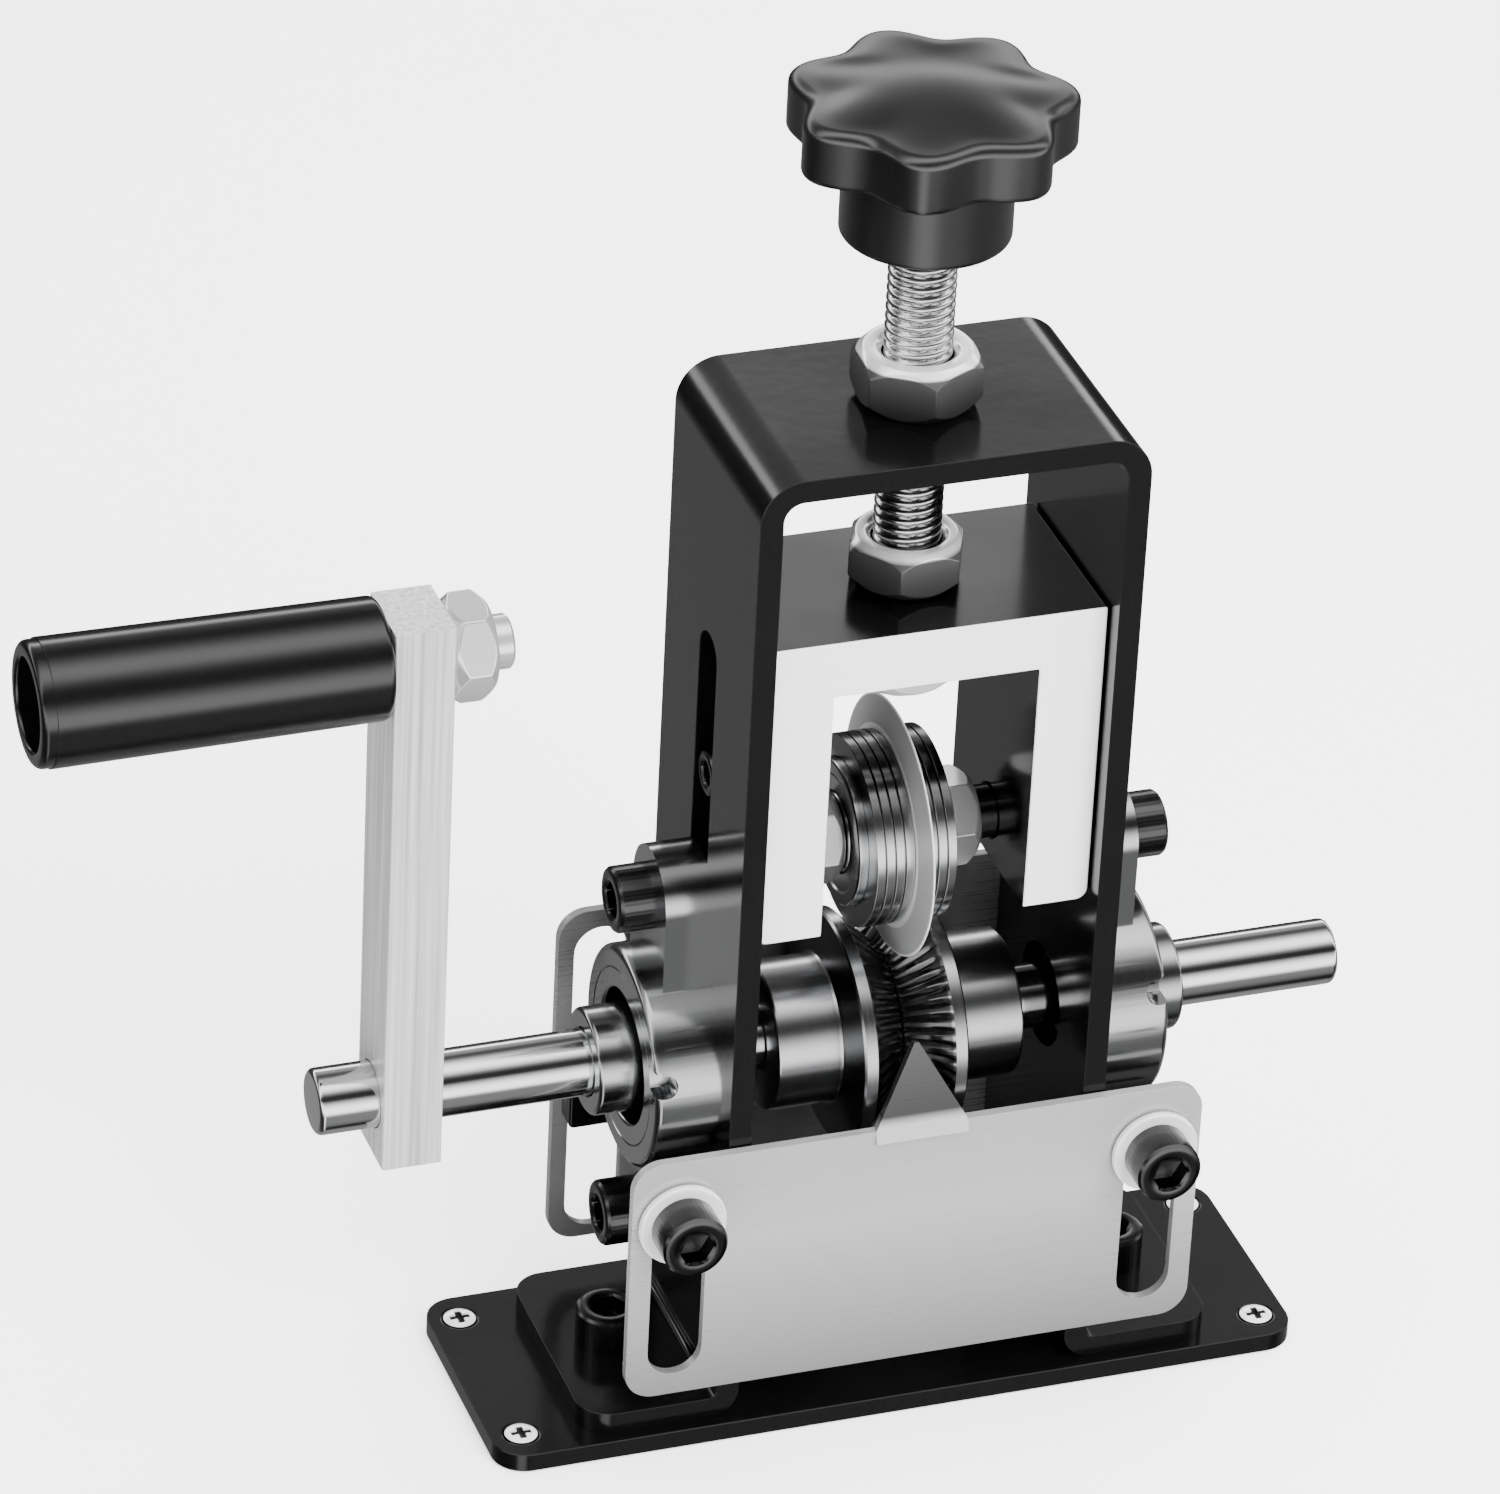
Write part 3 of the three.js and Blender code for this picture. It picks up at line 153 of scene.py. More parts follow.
def rounded(corners: Sequence[Spot], radii: Union[float, Sequence[float]], closed: bool = True,
            steps: int = 5) -> Array:
    """A line of straight runs with its corners made arcs.

    Each corner B becomes the conic through A and C, the points on its two runs at the distance
    radius * tan(turn / 2), with weight cos(turn / 2) on B, which is a circle's arc.

    Args:
        corners: The line's corners, each a pair.
        radii: One radius for all, or one for each corner.
        closed: Whether the last corner joins the first.
        steps: Parts of each arc.

    Returns:
        The points of the new line, as pairs.
    """
    here = np.asarray(corners, float)
    radius = np.broadcast_to(np.asarray(radii, float), len(here)).copy()
    if not closed:
        radius[[0, -1]] = 0
    to_last = np.roll(here, 1, 0) - here
    to_next = np.roll(here, -1, 0) - here
    last_length = np.linalg.norm(to_last, axis=1)
    next_length = np.linalg.norm(to_next, axis=1)
    last_way = to_last / np.maximum(last_length, 1e-9)[:, None]
    next_way = to_next / np.maximum(next_length, 1e-9)[:, None]
    half_turn = (math.pi - np.arccos(np.clip((last_way * next_way).sum(1), -1, 1))) / 2
    reach = radius * np.tan(np.minimum(half_turn, 1.5))
    reach = np.minimum(reach, 0.499 * np.minimum(last_length, next_length))
    start = here + last_way * reach[:, None]
    end = here + next_way * reach[:, None]
    t = np.linspace(0, 1, steps + 1)[None, :, None]
    weights = (1 - t) ** 2, 2 * t * (1 - t) * np.cos(half_turn)[:, None, None], t**2
    arcs = weights[0] * start[:, None] + weights[1] * here[:, None] + weights[2] * end[:, None]
    arcs /= sum(weights)
    pieces = [arc if r > 1e-6 else arc[:1] for arc, r in zip(arcs, reach)]
    return np.concatenate(pieces)


def arc(centre: Spot, radius: float, start: float, end: float, steps: int = 16) -> Array:
    """Points on a circle's arc, as pairs, in equal steps from one angle in degrees to another."""
    angle = np.radians(np.linspace(start, end, steps + 1))
    return np.stack([centre[0] + radius * np.cos(angle), centre[1] + radius * np.sin(angle)], -1)


def slot_outline(width: float, bottom: float, top: float, middle: float = 0.0) -> Array:
    """The outline of an upright slot with round ends, from its bottom to its top about its middle."""
    radius = width / 2
    return np.concatenate([arc((middle, bottom + radius), radius, 180, 360),
                           arc((middle, top - radius), radius, 0, 180)])


def plate_outline(width: float, bottom: float, top: float, radius: float, middle: float = 0.0) -> Array:
    """The outline of a rectangle with round corners, from its bottom to its top about its middle."""
    left, right = middle - width / 2, middle + width / 2
    return rounded([(left, bottom), (right, bottom), (right, top), (left, top)], radius, steps=10)


def pushed(outline: Array, axis: Axis, start: float, end: float, centre: Spot = ORIGIN) -> Skin:
    """An outline carried along an axis from start to end, with both ends closed."""
    points = axis.place(np.array([[start], [end]]), outline[None, :, 0], outline[None, :, 1], centre)
    return grid_skin(points, wrap_rows=False, caps=True)


def bar(radius: float, axis: Axis, start: float, end: float, centre: Spot = ORIGIN) -> Skin:
    """A round bar along an axis, which cuts a hole."""
    return pushed(arc((0, 0), radius, 0, 352, 44), axis, start, end, centre)


def swept_rows(rows: Sequence[tuple], angle: Array, axis: Axis, centre: Spot = ORIGIN,
               closed: bool = False) -> Skin:
    """A surface whose radius and place along the axis may both vary with the angle, row by row.

    The point for an angle is (along, radius * cos(angle), radius * sin(angle)).

    Args:
        rows: For each row its radius and its place, each one number or one for each angle.
        angle: The angles.
        axis: The axis that the rows go round.
        centre: A point on that axis.
        closed: Whether the last row joins the first, as a ring's does.

    Returns:
        The skin.
    """
    radius, along = (np.stack([np.broadcast_to(value, angle.shape) for value in column])
                     for column in zip(*rows))
    points = axis.place(along, radius * np.cos(angle), radius * np.sin(angle), centre)
    return grid_skin(points, wrap_rows=closed)


def turned(profile: Array, axis: Axis, centre: Spot = ORIGIN, closed: bool = True, sides: int = 96) -> Skin:
    """A profile of (radius, place) turned about an axis; one that isn't closed starts and ends on it."""
    return swept_rows(profile, np.linspace(0, FULL_TURN, sides, endpoint=False), axis, centre, closed)


def hexagon_radius(angle: Array, across_flats: float, turn: float) -> Array:
    """A hexagon's radius at each angle: half its width over the largest cosine to a flat's normal."""
    normals = math.radians(turn) + math.pi / 6 + np.arange(6) * math.pi / 3
    return across_flats / 2 / np.cos(angle[None, :] - normals[:, None]).max(0)


def hex_nut(across_flats: float, bore: float, axis: Axis, start: float, end: float, turn: float,
            centre: Spot = ORIGIN) -> Skin:
    """A hexagon nut with both faces chamfered and its bore countersunk.

    The side's radius is the hexagon's; a cone from each round face meets it, so each corner falls
    off by (radius - face radius) * tan(slope).

    Args:
        across_flats: Its width.
        bore: The bore's diameter.
        axis: The axis that it is threaded on.
        start: Its lower face.
        end: Its upper face.
        turn: The angle of one corner, in degrees.
        centre: A point on the axis.

    Returns:
        The skin.
    """
    face_share, slope, sink = 0.92, math.radians(46), 0.9
    angle = np.linspace(0, FULL_TURN, 144, endpoint=False) + math.radians(turn)
    side = hexagon_radius(angle, across_flats, turn)
    face, hole = across_flats / 2 * face_share, bore / 2
    fall = (side - face) * math.tan(slope)
    rows = [(hole, start + sink), (hole + sink, start), (face, start), (side, start + fall),
            (side, end - fall), (face, end), (hole + sink, end), (hole, end - sink)]
    return swept_rows(rows, angle, axis, centre, closed=True)


@dataclass(frozen=True)
class SocketScrewSizes:
    """A socket head screw: the head's and the shank's sizes, and its socket's."""

    diameter: float = 6.0
    head_diameter: float = 10.0
    head_height: float = 6.0
    socket: float = 5.0
    socket_depth: float = 3.0
    edge: float = 0.6
    ribs: int = 40
    rib_depth: float = 0.025


def socket_screw(sizes: SocketScrewSizes, axis: Axis, seat: float, heading: int, length: float,
                 centre: Spot) -> Skin:
    """A cap screw with a ribbed head and a hexagon socket.

    The head's radius swings by the ribs' depth with cos(ribs * angle), and the socket's rows take the
    hexagon's radius.

    Args:
        sizes: The screw's sizes.
        axis: The axis that it lies on.
        seat: Where the head's inner face sits.
        heading: +1 if the head points up the axis, or -1.
        length: The shank's length.
        centre: A point on the axis.

    Returns:
        The skin.
    """
    angle = np.linspace(0, FULL_TURN, max(4 * sizes.ribs, 96), endpoint=False)
    head, shank = sizes.head_diameter / 2, sizes.diameter / 2
    ribbed = head - sizes.rib_depth * (0.5 - 0.5 * np.cos(sizes.ribs * angle))
    inner = head - sizes.rib_depth
    top = sizes.head_height
    hexagon = hexagon_radius(angle, sizes.socket, 0)
    mouth = sizes.socket / 2 / math.cos(math.pi / 6) + 0.2
    rows = [
        (0, -length), (shank - 0.4, -length), (shank, 0.4 - length), (shank, 0), (inner, 0),
        (inner, 0.25), (ribbed, 0.5), (ribbed, top - sizes.edge - 0.35), (inner, top - sizes.edge),
        (head - 0.55 * sizes.edge, top - 0.3 * sizes.edge), (head - 1.2 * sizes.edge, top - 0.04),
        (head - 1.6 * sizes.edge, top), (mouth, top), (mouth - 0.1, top - 0.06),
        (hexagon, top - 0.35), (hexagon, top - sizes.socket_depth), (0, top - sizes.socket_depth - 0.6),
    ]
    return swept_rows([(radius, seat + heading * rise) for radius, rise in rows], angle, axis, centre)


def grub_screw(diameter: float, axis: Axis, inner: float, outer: float, centre: Spot) -> Skin:
    """A headless screw with a hexagon socket at its outer end.

    Args:
        diameter: Its width.
        axis: The axis that it lies on.
        inner: Its plain end.
        outer: Its socket's end.
        centre: A point on the axis.

    Returns:
        The skin.
    """
    heading = 1 if outer > inner else -1
    angle = np.linspace(0, FULL_TURN, 72, endpoint=False)
    radius, socket = diameter / 2, hexagon_radius(angle, diameter / 2, 0)
    ease, mouth = 0.3, diameter * 0.32
    rows = [(0, inner), (radius - ease, inner), (radius, inner + heading * ease),
            (radius, outer - heading * ease), (radius - ease, outer), (mouth, outer),
            (socket, outer - heading * 0.25), (socket, outer - heading * radius),
            (0, outer - heading * (radius + ease))]
    return swept_rows(rows, angle, axis, centre)


# Shader arithmetic


class Value:
    """A node's socket that takes part in arithmetic; each operator adds a Math node."""

    def __init__(self, shader: "Shader", socket: bpy.types.NodeSocket) -> None:
        """Wraps a socket of a shader."""
        self.shader = shader
        self.socket = socket

    def math(self, operation: str, *others: "Number") -> "Value":
        """A Math node on this value."""
        return self.shader.math(operation, self, *others)

    def __add__(self, other: "Number") -> "Value":
        """Sum."""
        return self.math("ADD", other)

    __radd__ = __add__

    def __sub__(self, other: "Number") -> "Value":
        """Difference."""
        return self.math("SUBTRACT", other)

    def __mul__(self, other: "Number") -> "Value":
        """Product."""
        return self.math("MULTIPLY", other)

    __rmul__ = __mul__

    def __truediv__(self, other: "Number") -> "Value":
        """Quotient."""
        return self.math("DIVIDE", other)


Number = Union[float, Value]


class Shader:
    """The node tree of a material or world, with one method for any node and one for arithmetic."""

    def __init__(self, owner: bpy.types.ID) -> None:
        """Empties the tree; a material's gets its output and surface nodes.

        Args:
            owner: The material or world.
        """
        owner.use_nodes = True
        self.tree = owner.node_tree
        self.tree.nodes.clear()
        if isinstance(owner, bpy.types.Material):
            self.surface = self.node("ShaderNodeBsdfPrincipled")
            self.node("ShaderNodeOutputMaterial", inputs={"Surface": self.surface.outputs["BSDF"]})

    def node(self, kind: str, settings: Optional[dict] = None, inputs: Optional[dict] = None,
             stops: Sequence[tuple] = ()) -> bpy.types.Node:
        """Makes a node.

        Args:
            kind: Its type.
            settings: Its properties, which are set first.
            inputs: Values, sockets or Values for its inputs, by name or number.
            stops: A ramp's stops, each a place and a grey or a colour.

        Returns:
            The node.
        """
        made = self.tree.nodes.new(kind)
        for name, value in (settings or {}).items():
            setattr(made, name, value)
        if stops:
            elements = made.color_ramp.elements
            while len(elements) < len(stops):
                elements.new(1.0)
            for element, (place, shade) in zip(elements, stops):
                element.position = place
                element.color = (*shade, 1) if isinstance(shade, tuple) else (shade, shade, shade, 1)
        for name, value in (inputs or {}).items():
            self.feed(made.inputs[name], value)
        return made

    def feed(self, socket: bpy.types.NodeSocket, value: object) -> None:
        """Sets or links one input socket.

        Args:
            socket: The input.
            value: A number, colour, socket or Value.
        """
        if isinstance(value, Value):
            value = value.socket
        if isinstance(value, bpy.types.NodeSocket):
            self.tree.links.new(value, socket)
        elif isinstance(value, (tuple, list)) and len(value) == 3 and len(socket.default_value) == 4:
            socket.default_value = (*value, 1.0)
        else:
            socket.default_value = value

    def math(self, operation: str, *values: Number) -> Value:
        """A Math node over values in order."""
        made = self.node("ShaderNodeMath", {"operation": operation}, dict(enumerate(values)))
        return Value(self, made.outputs[0])

    def mixed(self, share: Number, first: object, second: object, blend: str = "MIX") -> bpy.types.NodeSocket:
        """A mix of two colours.

        Args:
            share: How much of the second colour.
            first: The first colour or its socket.
            second: The second colour or its socket.
            blend: How they are mixed.

        Returns:
            The colour's socket.
        """
        made = self.node("ShaderNodeMix", {"data_type": "RGBA", "blend_type": blend})
        for spot, value in ((0, share), (6, first), (7, second)):
            self.feed(made.inputs[spot], value)
        return made.outputs[2]

    def coordinates(self, centre: Spot = ORIGIN) -> list[Value]:
        """The three object coordinates, counted from a centre.

        Args:
            centre: The centre, in millimetres.

        Returns:
            The coordinates, in metres.
        """
        source = self.node("ShaderNodeTexCoord").outputs["Object"]
        shift = tuple(-MM * value for value in centre)
        mapped = self.node("ShaderNodeMapping", inputs={"Vector": source, "Location": shift})
        return self.split(mapped.outputs[0])

    def split(self, vector: bpy.types.NodeSocket) -> list[Value]:
        """A vector's three parts."""
        parts = self.node("ShaderNodeSeparateXYZ", inputs={0: vector})
        return [Value(self, output) for output in parts.outputs]

    def noise(self, x: Number, y: Number, z: Number, scale: float, detail: float = 2.0) -> Value:
        """A noise over three coordinates, from 0 to 1."""
        vector = self.node("ShaderNodeCombineXYZ", inputs={0: x, 1: y, 2: z}).outputs[0]
        made = self.node("ShaderNodeTexNoise", inputs={"Vector": vector, "Scale": scale, "Detail": detail})
        return Value(self, made.outputs[0])

    def ramp(self, share: Number, stops: Sequence[tuple]) -> Value:
        """A ramp of greys or colours over a value."""
        made = self.node("ShaderNodeValToRGB", inputs={0: share}, stops=stops)
        return Value(self, made.outputs[0])

    def bump(self, height: Number, strength: float, distance: float) -> None:
        """Bends the surface's normal by a height.

        Args:
            height: The height, from 0 to 1.
            strength: How much of it counts.
            distance: What a height of 1 stands for, in metres.
        """
        inputs = {"Strength": strength, "Distance": distance, "Height": height}
        self.cover({"Normal": self.node("ShaderNodeBump", inputs=inputs).outputs[0]})

    def cover(self, inputs: dict) -> None:
        """Feeds the surface's inputs by name."""
        for name, value in inputs.items():
            self.feed(self.surface.inputs[name], value)


# Finishes


class Grain(Enum):
    """How a metal's fine marks run: in no direction, along an axis or round one."""

    SPECKLED = "speckled"
    ALONG_X = "along x"
    ALONG_Z = "along z"
    ROUND_X = "round x"
    ROUND_Z = "round z"


@dataclass(frozen=True)
class Finish:
    """What every finish shares: its colour and how rough it is."""

    colour: tuple = (0.5, 0.5, 0.5)
    roughness: float = 0.3

    def dress(self, shader: Shader) -> None:
        """Sets up the shader's surface."""
        raise NotImplementedError

    def material(self, name: str) -> bpy.types.Material:
        """The material that this finish makes, under a name."""
        material = bpy.data.materials.new(name)
        self.dress(Shader(material))
        return material


@dataclass(frozen=True)
class Metal(Finish):
    """A bare or plated metal whose fine marks run one way."""

    grain: Grain = Grain.SPECKLED
    centre: tuple = ORIGIN
    metallic: float = 1.0
    grain_scale: float = 5000.0
    grain_depth: float = 0.25
    contrast: float = 0.12
    stain: float = 0.06
    stain_colour: tuple = (0.3, 0.3, 0.3)
    # painted_light_ramp: stops of (place in mm, multiplier) that paint light and shade into the colour, over
    # height, or over the distance from the X axis through centre when painted_light_by_radius is set; empty
    # for none
    painted_light_ramp: tuple = ()
    painted_light_by_radius: bool = False

    def marks(self, shader: Shader) -> Value:
        """The fine marks, from 0 to 1.

        Streaks are a noise whose coordinate along them is shrunk to about a hundredth; marks round
        an axis are a noise over the place along it and the distance from it.

        Args:
            shader: The material's shader.

        Returns:
            The marks' height.
        """
        x, y, z = shader.coordinates(self.centre)
        shrink = 0.012
        if self.grain is Grain.ALONG_X:
            return shader.noise(x * shrink, y, z, self.grain_scale, 3)
        if self.grain is Grain.ALONG_Z:
            return shader.noise(x, y, z * shrink, self.grain_scale, 3)
        if self.grain is Grain.SPECKLED:
            return shader.noise(x, y, z, self.grain_scale, 3)
        along, first, second = (x, y, z) if self.grain is Grain.ROUND_X else (z, x, y)
        radius = (first * first + second * second).math("SQRT")
        return shader.noise(along, radius, 0.0, self.grain_scale, 2)

    def dress(self, shader: Shader) -> None:
        """Colour, roughness and bump from the marks, with broad faint stains.

        Args:
            shader: The material's shader.
        """
        marks = self.marks(shader)
        x, y, z = shader.coordinates(self.centre)
        broad = shader.noise(x, y, z, 70.0, 3)
        stains = shader.ramp(broad, [(0.42, 0.0), (0.7, 1.0)])
        dark = tuple(value * (1 - self.contrast) for value in self.colour)
        shade = shader.mixed(marks, dark, self.colour)
        shade = shader.mixed(stains * self.stain, shade, self.stain_colour)
        # Painted light and shade: the colour is multiplied by the ramp's stops over height, or over the
        # distance from the axis
        if self.painted_light_ramp:
            first, last = self.painted_light_ramp[0][0], self.painted_light_ramp[-1][0]
            place = z / MM + self.centre[2]
            if self.painted_light_by_radius:
                place = (y * y + z * z).math("SQRT") / MM
            share = (place - first) / (last - first)
            stops = [((height - first) / (last - first), shade_share) for height, shade_share in self.painted_light_ramp]
            shade = shader.mixed(1.0, shade, shader.ramp(share, stops), "MULTIPLY")
        rough = self.roughness * (0.8 + marks * 0.4) + broad * 0.06
        self.cover(shader, y, shade, rough)
        shader.bump(marks, self.grain_depth, 0.00002)

    def cover(self, shader: Shader, y: Value, shade: object, rough: Value) -> None:
        """Feeds colour, metal share and roughness to the surface.

        Args:
            shader: The material's shader.
            y: The object coordinate along Y, in metres.
            shade: The colour's socket.
            rough: The roughness.
        """
        shader.cover({"Base Color": shade, "Metallic": self.metallic, "Roughness": rough})


@dataclass(frozen=True)
class FacedMetal(Metal):
    """A polished block whose front and back faces are matt, with a pale colour painted on them as painted
    light.

    Their finish starts at face_at and is complete after 1 / face_onset metres.
    """

    face_at: float = 15.45
    face_onset: float = 20000.0
    face_painted_light: tuple = (0.8, 0.8, 0.8)
    face_metallic: float = 0.3
    face_roughness: float = 0.42

    def cover(self, shader: Shader, y: Value, shade: object, rough: Value) -> None:
        """Gives the faces beyond a depth their own colour, a pale painted light, and their own metal share
        and roughness.

        Args:
            shader: The material's shader.
            y: The object coordinate along Y, in metres.
            shade: The other faces' colour socket.
            rough: The other faces' roughness.
        """
        beyond = (y.math("ABSOLUTE") - self.face_at * MM) * self.face_onset
        face = beyond.math("MINIMUM", 1.0).math("MAXIMUM", 0.0)
        shader.cover({
            "Base Color": shader.mixed(face, shade, self.face_painted_light),
            "Metallic": self.metallic + face * (self.face_metallic - self.metallic),
            "Roughness": rough + face * (self.face_roughness - self.roughness),
        })


@dataclass(frozen=True)
class Paint(Finish):
    """A gloss powder coat: a dark base under a clear layer with a faint orange peel."""

    def dress(self, shader: Shader) -> None:
        """A broad smudge in the roughness and a small ripple in the surface.

        Args:
            shader: The material's shader.
        """
        x, y, z = shader.coordinates()
        peel = shader.noise(x, y, z, 420.0, 2)
        smudge = shader.noise(x, y, z, 45.0, 3)
        lighter = tuple(value * 1.35 + 0.0005 for value in self.colour)
        shader.cover({"Base Color": shader.mixed(smudge, self.colour, lighter),
                      "Roughness": self.roughness + smudge * 0.1})
        shader.bump(peel, 0.12, 0.0001)


@dataclass(frozen=True)
class Plastic(Finish):
    """A moulded plastic with a fine texture and slightly polished high spots."""

    texture_scale: float = 2600.0
    texture_depth: float = 0.2
    index: float = 1.5

    def dress(self, shader: Shader) -> None:
        """Fine spark texture in the bump and a broad change of gloss from handling.

        Args:
            shader: The material's shader.
        """
        x, y, z = shader.coordinates()
        texture = shader.noise(x, y, z, self.texture_scale, 3)
        handling = shader.noise(x, y, z, 60.0, 2)
        lighter = tuple(value * 1.6 + 0.001 for value in self.colour)
        shader.cover({"Base Color": shader.mixed(texture, self.colour, lighter),
                      "Roughness": self.roughness * (0.85 + handling * 0.3), "IOR": self.index})
        shader.bump(texture, self.texture_depth, 0.00003)


FINISHES: dict[str, Finish] = {
    "gloss_black_paint": Paint((0.0015, 0.0015, 0.0016), 0.1),
    "chrome": Metal((0.8, 0.81, 0.82), 0.1, grain=Grain.ROUND_X, centre=SHAFT_LINE, grain_depth=0.05),
    "dark_steel": Metal((0.46, 0.465, 0.475), 0.2, grain=Grain.ROUND_X, centre=SHAFT_LINE,
                        grain_scale=2500.0, grain_depth=0.02, contrast=0.05),
    "blade_steel": Metal((0.74, 0.745, 0.75), 0.3, grain=Grain.ROUND_X, centre=BLADE_LINE,
                         grain_depth=0.06, metallic=0.45, contrast=0.08),
    "brushed_aluminium": Metal((0.8, 0.8, 0.8), 0.36, grain=Grain.ALONG_Z, metallic=0.45, grain_scale=1300.0,
                               grain_depth=0.8, contrast=0.85),
    # The carriage's colour is painted darker below its top face: painted shade on its sides, inner walls and
    # ceiling
    "satin_aluminium": FacedMetal((0.18, 0.18, 0.18), 0.13, grain=Grain.ALONG_X, grain_scale=3000.0,
                                  grain_depth=0.05, contrast=0.06,
                                  painted_light_ramp=((80, 0.28), (131.5, 0.28), (132.3, 1.0), (134, 1.0))),
    "stainless": Metal((0.37, 0.37, 0.37), 0.26, grain=Grain.ALONG_X, metallic=0.5, grain_scale=2600.0,
                       grain_depth=0.008, contrast=0.02),
    "zinc": Metal((0.66, 0.66, 0.655), 0.16, metallic=0.85, grain_scale=900.0, grain_depth=0.02,
                  contrast=0.04),
    "black_oxide": Metal((0.06, 0.06, 0.062), 0.22, grain_scale=1200.0, grain_depth=0.02, contrast=0.04),
    "black_grip": Plastic((0.0012, 0.0012, 0.0012), 0.2, texture_scale=900.0, texture_depth=0.03,
                          index=1.58),
    "black_plastic": Plastic((0.0008, 0.0008, 0.0008), 0.31, texture_scale=1500.0, texture_depth=0.008,
                             index=1.8),
}


# Making pieces


@dataclass
class Workshop:
    """Makes the pieces that stand for the nodes, and keeps their materials."""

    materials: dict = field(default_factory=dict)

    def mesh_object(self, name: str, skin: Skin) -> bpy.types.Object:
        """An object at the origin with a skin's mesh, its doubles merged and its faces turned outwards.

        Args:
            name: The object's name.
            skin: Its surface, in millimetres.

        Returns:
            The object.
        """
        mesh = bpy.data.meshes.new(name)
        mesh.from_pydata((skin.points * MM).tolist(), [], skin.faces)
        bare = bmesh.new()
        bare.from_mesh(mesh)
        bmesh.ops.remove_doubles(bare, verts=bare.verts, dist=2e-6)
        bmesh.ops.dissolve_degenerate(bare, edges=bare.edges, dist=1e-7)
        bmesh.ops.recalc_face_normals(bare, faces=bare.faces)
        bare.to_mesh(mesh)
        bare.free()
        made = bpy.data.objects.new(name, mesh)
        bpy.context.scene.collection.objects.link(made)
        return made

    def combine(self, base: bpy.types.Object, tools: Sequence[Skin], operation: str) -> None:
        """Cuts, joins or trims a piece with other shapes, one after another, and applies it.

        Args:
            base: The piece.
            tools: The other shapes.
            operation: DIFFERENCE, UNION or INTERSECT.
        """
        for skin in tools:
            tool = self.mesh_object("tool", skin)
            modifier = base.modifiers.new("shape", "BOOLEAN")
            modifier.operation = operation
            modifier.solver = "EXACT"
            modifier.object = tool
            self.apply(base)
            bpy.data.objects.remove(tool)

    def apply(self, piece: bpy.types.Object) -> None:
        """Makes a piece's modifiers part of its mesh.

        Args:
            piece: The piece.
        """
        graph = bpy.context.evaluated_depsgraph_get()
        mesh = bpy.data.meshes.new_from_object(piece.evaluated_get(graph))
        piece.modifiers.clear()
        old, piece.data = piece.data, mesh
        bpy.data.meshes.remove(old)

    def add(self, node: str, skin: Skin, finish: Optional[Finish] = None, bevel: float = 0.0,
            cuts: Sequence[Skin] = (), joins: Sequence[Skin] = (), trims: Sequence[Skin] = (),
            sharp: float = 32.0) -> None:
        """Makes a piece from a skin, eases its edges, shades and dresses it, and lets it stand for its node.

        Args:
            node: The CAD node that it stands for.
            skin: Its shape.
            finish: Its finish, or None for its slot's.
            bevel: The width of its eased edges, or 0.
            cuts: Shapes taken away from it last.
            joins: Shapes joined to it first.
            trims: Shapes that it is then kept within.
            sharp: Edges sharper than this angle stay crisp, in degrees.
        """
        piece = self.mesh_object(f"{node}_look", skin)
        for tools, operation in ((joins, "UNION"), (trims, "INTERSECT"), (cuts, "DIFFERENCE")):
            self.combine(piece, tools, operation)
        if bevel:
            modifier = piece.modifiers.new("edges", "BEVEL")
            modifier.width = bevel * MM
            modifier.segments = 3
            modifier.limit_method = "ANGLE"
            modifier.angle_limit = math.radians(sharp)
            modifier.use_clamp_overlap = True
            self.apply(piece)
        slot = SLOTS[node]
        look = finish or FINISHES[slot]
        if look not in self.materials:
            self.materials[look] = look.material(f"{slot}_{len(self.materials)}")
        piece.data.materials.clear()
        piece.data.materials.append(self.materials[look])
        piece.data.shade_smooth()
        piece.data.set_sharp_from_angle(angle=math.radians(sharp))
        weighted = piece.modifiers.new("flat", "WEIGHTED_NORMAL")
        weighted.keep_sharp = True
        weighted.weight = 100
        self.apply(piece)
        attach(piece, frame["nodes"][node]["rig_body"])
        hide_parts(node)
        log.info("%s: %d faces, %s", piece.name, len(piece.data.polygons), slot)


CAP_SCREW = SocketScrewSizes()


# Sub-assemblies


